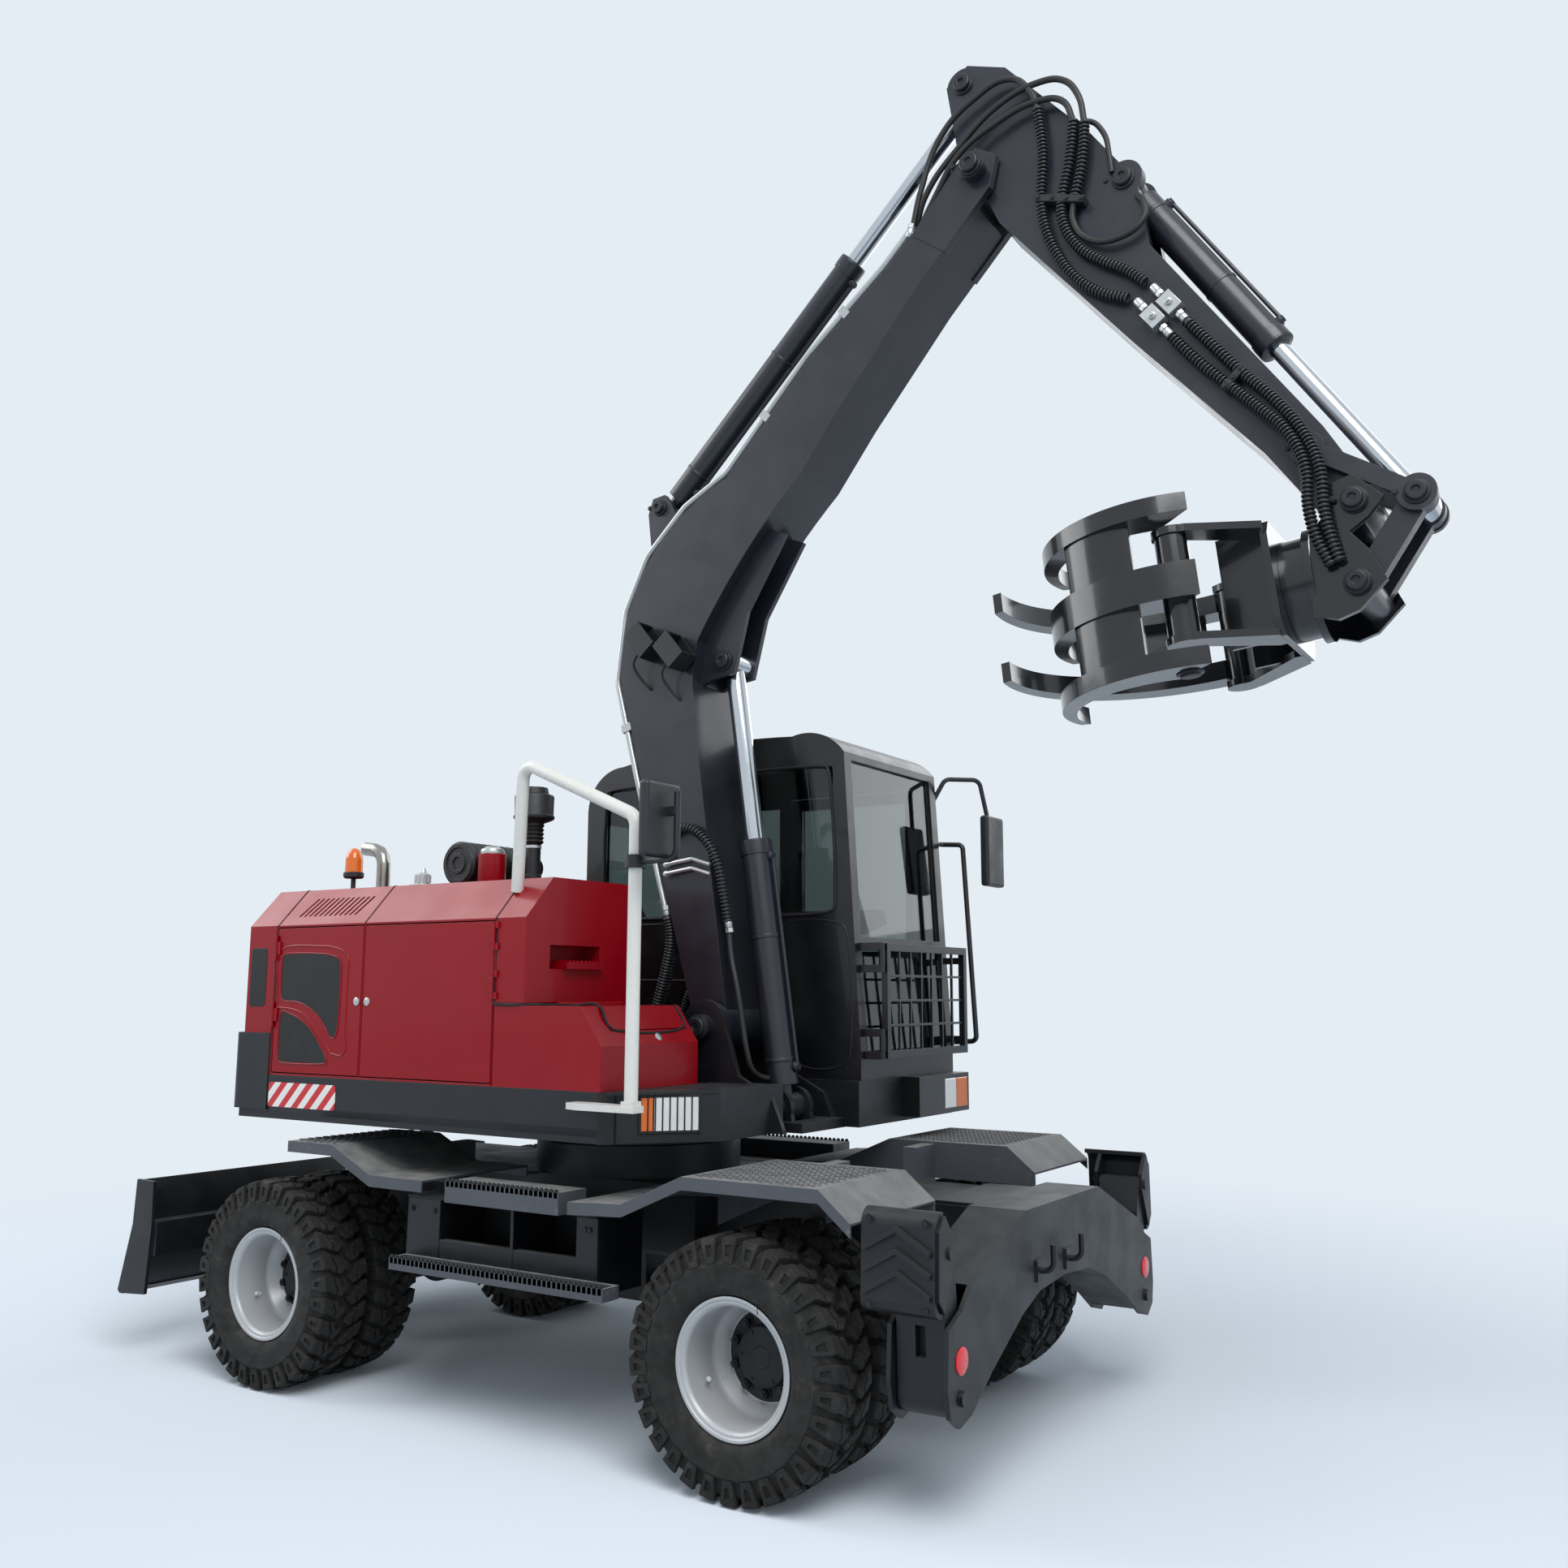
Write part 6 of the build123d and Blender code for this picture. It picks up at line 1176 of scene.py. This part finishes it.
class EXCAVATOR_OT_chassis(bpy.types.Operator):
    """Makes the side boxes with their bays, the steps' teeth, the tread plate, the reflectors and pad bolts"""
    bl_idname = "excavator.chassis"
    bl_label = "Chassis details"

    def execute(self, context):
        self.side_boxes()
        self.treads()
        self.tread_plate()
        self.reflectors()
        return {"FINISHED"}

    def side_boxes(self):
        """Welded boxes beside the frame: two bays open to the side with a lip below, a plain panel behind them."""
        lo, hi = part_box("side_boxes")
        wall, inner = hi.y, hi.y - 0.26
        (a0, a1), (b0, b1) = BAYS
        low, high = lo.z + SHEET, hi.z - SHEET
        plates = [      # along x, out from the middle plane, and along z
            (lo.x, hi.x, inner, wall, high, hi.z), (lo.x, hi.x, inner, wall, lo.z, low),
            (lo.x, hi.x, inner, inner + SHEET, low, high), (lo.x, a0, wall - SHEET, wall, low, high),
            (b1, hi.x, wall - SHEET, wall, low, high), (a1, b0, wall - 0.012, wall, low, high),
            (a0, a1, wall - 0.010, wall - 0.002, low, BAY_LIP), (b0, b1, wall - 0.010, wall - 0.002, low, BAY_LIP)]
        plates += [(x, x + SHEET, inner + SHEET, wall - SHEET, low, high)
                   for x in (lo.x, a0 - SHEET, a1, b1, hi.x - SHEET)]
        plates += [(x0 + 0.010, x1 - 0.010, wall - 0.030, wall - 0.010, 0.700, 0.706) for x0, x1 in BAYS]
        build, places = Build(), []
        for side in (LEFT, RIGHT):
            for x0, x1, d0, d1, z0, z1 in plates:
                y0, y1 = sorted((side * d0, side * d1))
                build.box((x0, y0, z0), (x1, y1, z1))
            for x, rows in ((0.545, (low, high)), (hi.x - 0.035, (low, high)), (lo.x + 0.03, (high, low)),
                            (a0 - 0.03, (high, low))):
                for z in rows:
                    places.append(((x, side * wall, z + (0.042 if z == low else -0.042)), (0, side, 0)))
        build.held("side_boxes_welded", "chassis", "frame_paint", "frame_paint", bevel=0.0025,
                   stands_for=["side_boxes"])
        bolts("side_box_bolts", "chassis", places, head=0.009, height=0.007)

    def treads(self):
        """Upright teeth along the edges of both steps."""
        for name, x0, count, y, z0, z1, step in STEPS:
            outline = [(x0, z0), (x0 + 0.017, z0), (x0 + 0.017, z1 - 0.006), (x0 + 0.012, z1), (x0 + 0.005, z1),
                       (x0, z1 - 0.006)]
            for word, side in SIDES:
                a, b = sorted((side * (y - 0.006), side * (y + 0.0005)))
                tooth = Build().prism(outline, "y", a, b)
                tooth = tooth.object("step_teeth_%s_%s" % (name, word), [FINISH["frame_paint"]])
                hold(in_rows(tooth, count, (step, 0.0, 0.0), "frame_paint"), "chassis")

    def tread_plate(self):
        """Raised lozenges of the fenders' tread plate."""
        for word, side in SIDES:
            for end, x0, count in (("front", 1.055, 12), ("rear", -1.045, 6)):
                bars = Build()
                for turn, dx, dy in ((35, 0, 0), (-35, 0.020, 0.021)):
                    c, s = math.cos(math.radians(turn)), math.sin(math.radians(turn))
                    bars.prism([(x0 + dx + u * c - v * s, side * (0.500 + dy) + u * s + v * c) for u, v in LOZENGE],
                               "z", 1.036, 1.0395)
                bars = bars.object("tread_bars_%s_%s" % (end, word), [FINISH["chequer_plate"]])
                plate = in_rows(bars, count, (0.041, 0.0, 0.0), "chequer_plate", 13, (0.0, side * 0.0405, 0.0))
                hold(plate, "chassis")

    def reflectors(self):
        """Round reflectors on the front plate, and the bolts of the outriggers' pads."""
        plate_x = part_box("outrigger_right")[1].x      # flush with the housing's front plate
        lenses = Build()
        for side in (LEFT, RIGHT):
            front = Vector((plate_x, side * 0.881, 0.535))
            lenses.turned(front, front + Vector((1, 0, 0)), REFLECTOR, 28)
        lenses.held("round_reflectors", "chassis", "black_plastic", "red_reflector", smooth=40)
        for word, side in SIDES:
            pads = [((x, side * 1.020, z), (0, side, 0)) for x in (1.742, 1.942) for z in (0.702, 0.960)]
            bolts("pad_bolts_" + word, "outrigger_" + word, pads, head=0.010, height=0.006)


# ---------------------------------------------------------------- cab and lamps
SIDE_LINES = (      # name, height over the cab's side, radius, finish, slot, and the line as (x, z)
    ("seal_side_rear", -0.001, 0.007, "seal_rubber", "black_plastic", [
        (-0.345, 2.020), (-0.340, 2.610), (-0.325, 2.622), (0.225, 2.622), (0.240, 2.610), (0.240, 2.025),
        (0.225, 2.010), (-0.335, 2.010)]),
    ("seal_side_front", -0.001, 0.007, "seal_rubber", "black_plastic", [
        (0.302, 2.025), (0.302, 2.625), (0.317, 2.640), (0.890, 2.640), (0.906, 2.628), (0.940, 2.030),
        (0.925, 2.010), (0.317, 2.010)]),
    ("pressed_front_low", 0.001, 0.004, "frame_paint", "frame_paint", [
        (0.680, 1.955), (0.960, 1.955), (0.990, 1.930), (1.008, 1.400), (0.985, 1.368), (0.745, 1.362),
        (0.722, 1.390), (0.672, 1.930)]),
    ("pressed_rear_low", 0.001, 0.004, "frame_paint", "frame_paint", [
        (-0.380, 1.955), (0.560, 1.955), (0.590, 1.930), (0.590, 1.760), (0.565, 1.735), (-0.380, 1.735),
        (-0.405, 1.760), (-0.405, 1.930)]))
BOOM_LAMPS = ((0.236, 3.192), (0.396, 3.128))
LAMP_FACE = Vector((0.766, 0, 0.643))
LAMP_Y = -0.314
CABLE = ((-0.038, LAMP_Y, -0.040), (-0.070, -0.312, -0.090), (-0.055, -0.280, -0.150), (-0.020, -0.250, -0.200))
LAMP_BOX_X = 1.150       # front of the lamp box at the cab's foot


def wall_plate(build, p, q, out, depth, z0, z1, slope=0.0):
    """A plate from p to q on an upright wall, its face narrower by the slope above and below."""
    build.loft([[(*p.xy, z0), (*q.xy, z0), (*q.xy, z1), (*p.xy, z1)],
                [(*(e + out * depth).xy, z) for e, z in ((p, z0 + slope), (q, z0 + slope), (q, z1 - slope),
                                                         (p, z1 - slope))]])


class EXCAVATOR_OT_cab(bpy.types.Operator):
    """Makes the cab's seals and pressed lines, the seat's bolsters and the machine's lamps"""
    bl_idname = "excavator.cab"
    bl_label = "Cab and lamps"

    def execute(self, context):
        for name, off, r, finish, slot, outline in SIDE_LINES:
            hold(bead(name, flat(outline, CAB_SIDE + off), r, FINISH[finish]), "upper")
        self.boom_lamps()
        self.lamp_box()
        self.corner_lamps()
        self.seat()
        return {"FINISHED"}

    def boom_lamps(self):
        """Lenses and bezels of the boom's two work lamps, and their cables."""
        build = Build()
        for x, z in BOOM_LAMPS:
            front = Vector((x, LAMP_Y, z)) - LAMP_FACE * 0.012
            build.part = 0
            build.turned(front, front + LAMP_FACE, [(0, 0.047), (0.010, 0.047), (0.013, 0.043), (0.013, 0.037)], 28)
            build.part = 1
            build.turned(front + LAMP_FACE * 0.004, front + LAMP_FACE,
                         [(0, 0.036), (0.004, 0.036), (0.007, 0.024), (0.008, 0.004)], 28)
        build.held("boom_lamp_lenses", "boom", "black_plastic", "black_plastic", "clear_lens", smooth=45)
        for k, (x, z) in enumerate(BOOM_LAMPS):
            line = [(x + dx, y, z + dz) for dx, y, dz in CABLE]
            hold(hose("boom_lamp_cable_%d" % (k + 1), line, 0.006, FINISH["hose_rubber"]), "boom")

    def lamp_box(self):
        """The white and the amber lens at the cab's foot."""
        build = Build()
        z0, z1, edge = 1.150, 1.280, 0.003
        for part, (y0, y1) in enumerate(((0.740, 0.850), (0.856, 0.965))):
            build.part = part
            build.loft([[(LAMP_BOX_X + k, y0 + k, z0 + k), (LAMP_BOX_X + k, y1 - k, z0 + k),
                         (LAMP_BOX_X + k, y1 - k, z1 - k), (LAMP_BOX_X + k, y0 + k, z1 - k)] for k in (0, edge)])
        build.held("cab_foot_lenses", "upper", "black_plastic", "clear_lens", "amber_lens", smooth=30)

    def corner_lamps(self):
        """The amber and white lamps behind upright bars, on the slanted wall of the skirt."""
        build = Build()
        foot, tip = Vector((0.693, -0.880, 0)), Vector((0.883, -0.669, 0))
        way = (tip - foot).normalized()
        out = Vector((way.y, -way.x, 0))
        for part, start, end, z0, z1, depth in (      # the base, the amber lamp and the white one
                (0, 0.0, 0.235, 1.145, 1.290, 0.010), (1, 0.010, 0.052, 1.155, 1.280, 0.014),
                (2, 0.058, 0.225, 1.155, 1.280, 0.014)):
            build.part = part
            wall_plate(build, foot + way * start, foot + way * end, out, depth, z0, z1, slope=0.003)
        build.part = 0
        for k in range(9):
            p = foot + way * (0.004 + 0.0275 * k)
            wall_plate(build, p, p + way * 0.005, out, 0.018, 1.150, 1.285)
        build.held("corner_lamps", "upper", "black_plastic", "black_plastic", "amber_lens", "clear_lens", smooth=30)

    def seat(self):
        """Bolsters along both edges of the driver's seat."""
        seat = Build()
        for y in (0.405, 0.745):
            seat.loft([[(x, y + dy, z + dz) for dy, dz in ((-0.030, 0), (0, 0.030), (0.030, 0), (0, -0.012))]
                       for x, z in ((-0.02, 1.905), (0.10, 1.925), (0.30, 1.915), (0.36, 1.885))])
        seat.held("seat_bolsters", "upper", "seat_plastic", "seat_plastic", smooth=50, bevel=0.006)


# ---------------------------------------------------------------- grapple
class EXCAVATOR_OT_grapple(bpy.types.Operator):
    """Makes the collars at both ends of the right jaw's pin"""
    bl_idname = "excavator.grapple"
    bl_label = "Grapple pin"

    def execute(self, context):
        up = Vector((-0.10453, 0, 0.99452))       # the jaws' pins lean back by 6 degrees
        build = Build()
        for way in (1, -1):
            end = PINS["jaw_right_hinge"] + up * (way * 0.300)
            build.turned(end - up * way * 0.002, end + up * way,
                         [(0, 0.046), (0.006, 0.046), (0.008, 0.034), (0.014, 0.034), (0.016, 0.028),
                          (0.016, 0.010)], 28)
        build.held("pin_stack_jaw_right", "jaw_right", "cast_dark", "bolt_dark", smooth=30, bevel=0.001)
        return {"FINISHED"}


# ---------------------------------------------------------------- panel and registration
OPERATORS = (EXCAVATOR_OT_stage, EXCAVATOR_OT_finishes, EXCAVATOR_OT_wheels, EXCAVATOR_OT_pins,
             EXCAVATOR_OT_hoses, EXCAVATOR_OT_hood, EXCAVATOR_OT_chassis, EXCAVATOR_OT_cab, EXCAVATOR_OT_grapple)


class EXCAVATOR_PT_panel(bpy.types.Panel):
    bl_idname = "EXCAVATOR_PT_panel"
    bl_label = "Wheeled excavator"
    bl_space_type = "VIEW_3D"
    bl_region_type = "UI"
    bl_category = "Excavator"

    def draw(self, context):
        for group in (context.scene.excavator_colours, context.scene.excavator_wheels):
            box = self.layout.box()
            for name in type(group).__annotations__:
                box.prop(group, name)
        for operator in OPERATORS:
            self.layout.operator(operator.bl_idname)


CLASSES = (ExcavatorColours, ExcavatorWheels, *OPERATORS, EXCAVATOR_PT_panel)


def register():
    for c in CLASSES:
        bpy.utils.register_class(c)
    bpy.types.Scene.excavator_colours = bpy.props.PointerProperty(type=ExcavatorColours)
    bpy.types.Scene.excavator_wheels = bpy.props.PointerProperty(type=ExcavatorWheels)


def unregister():
    del bpy.types.Scene.excavator_wheels
    del bpy.types.Scene.excavator_colours
    for c in reversed(CLASSES):
        bpy.utils.unregister_class(c)


def main():
    register()
    for operator in OPERATORS:
        family, action = operator.bl_idname.split(".")
        getattr(getattr(bpy.ops, family), action)()


if __name__ == "__main__":
    main()
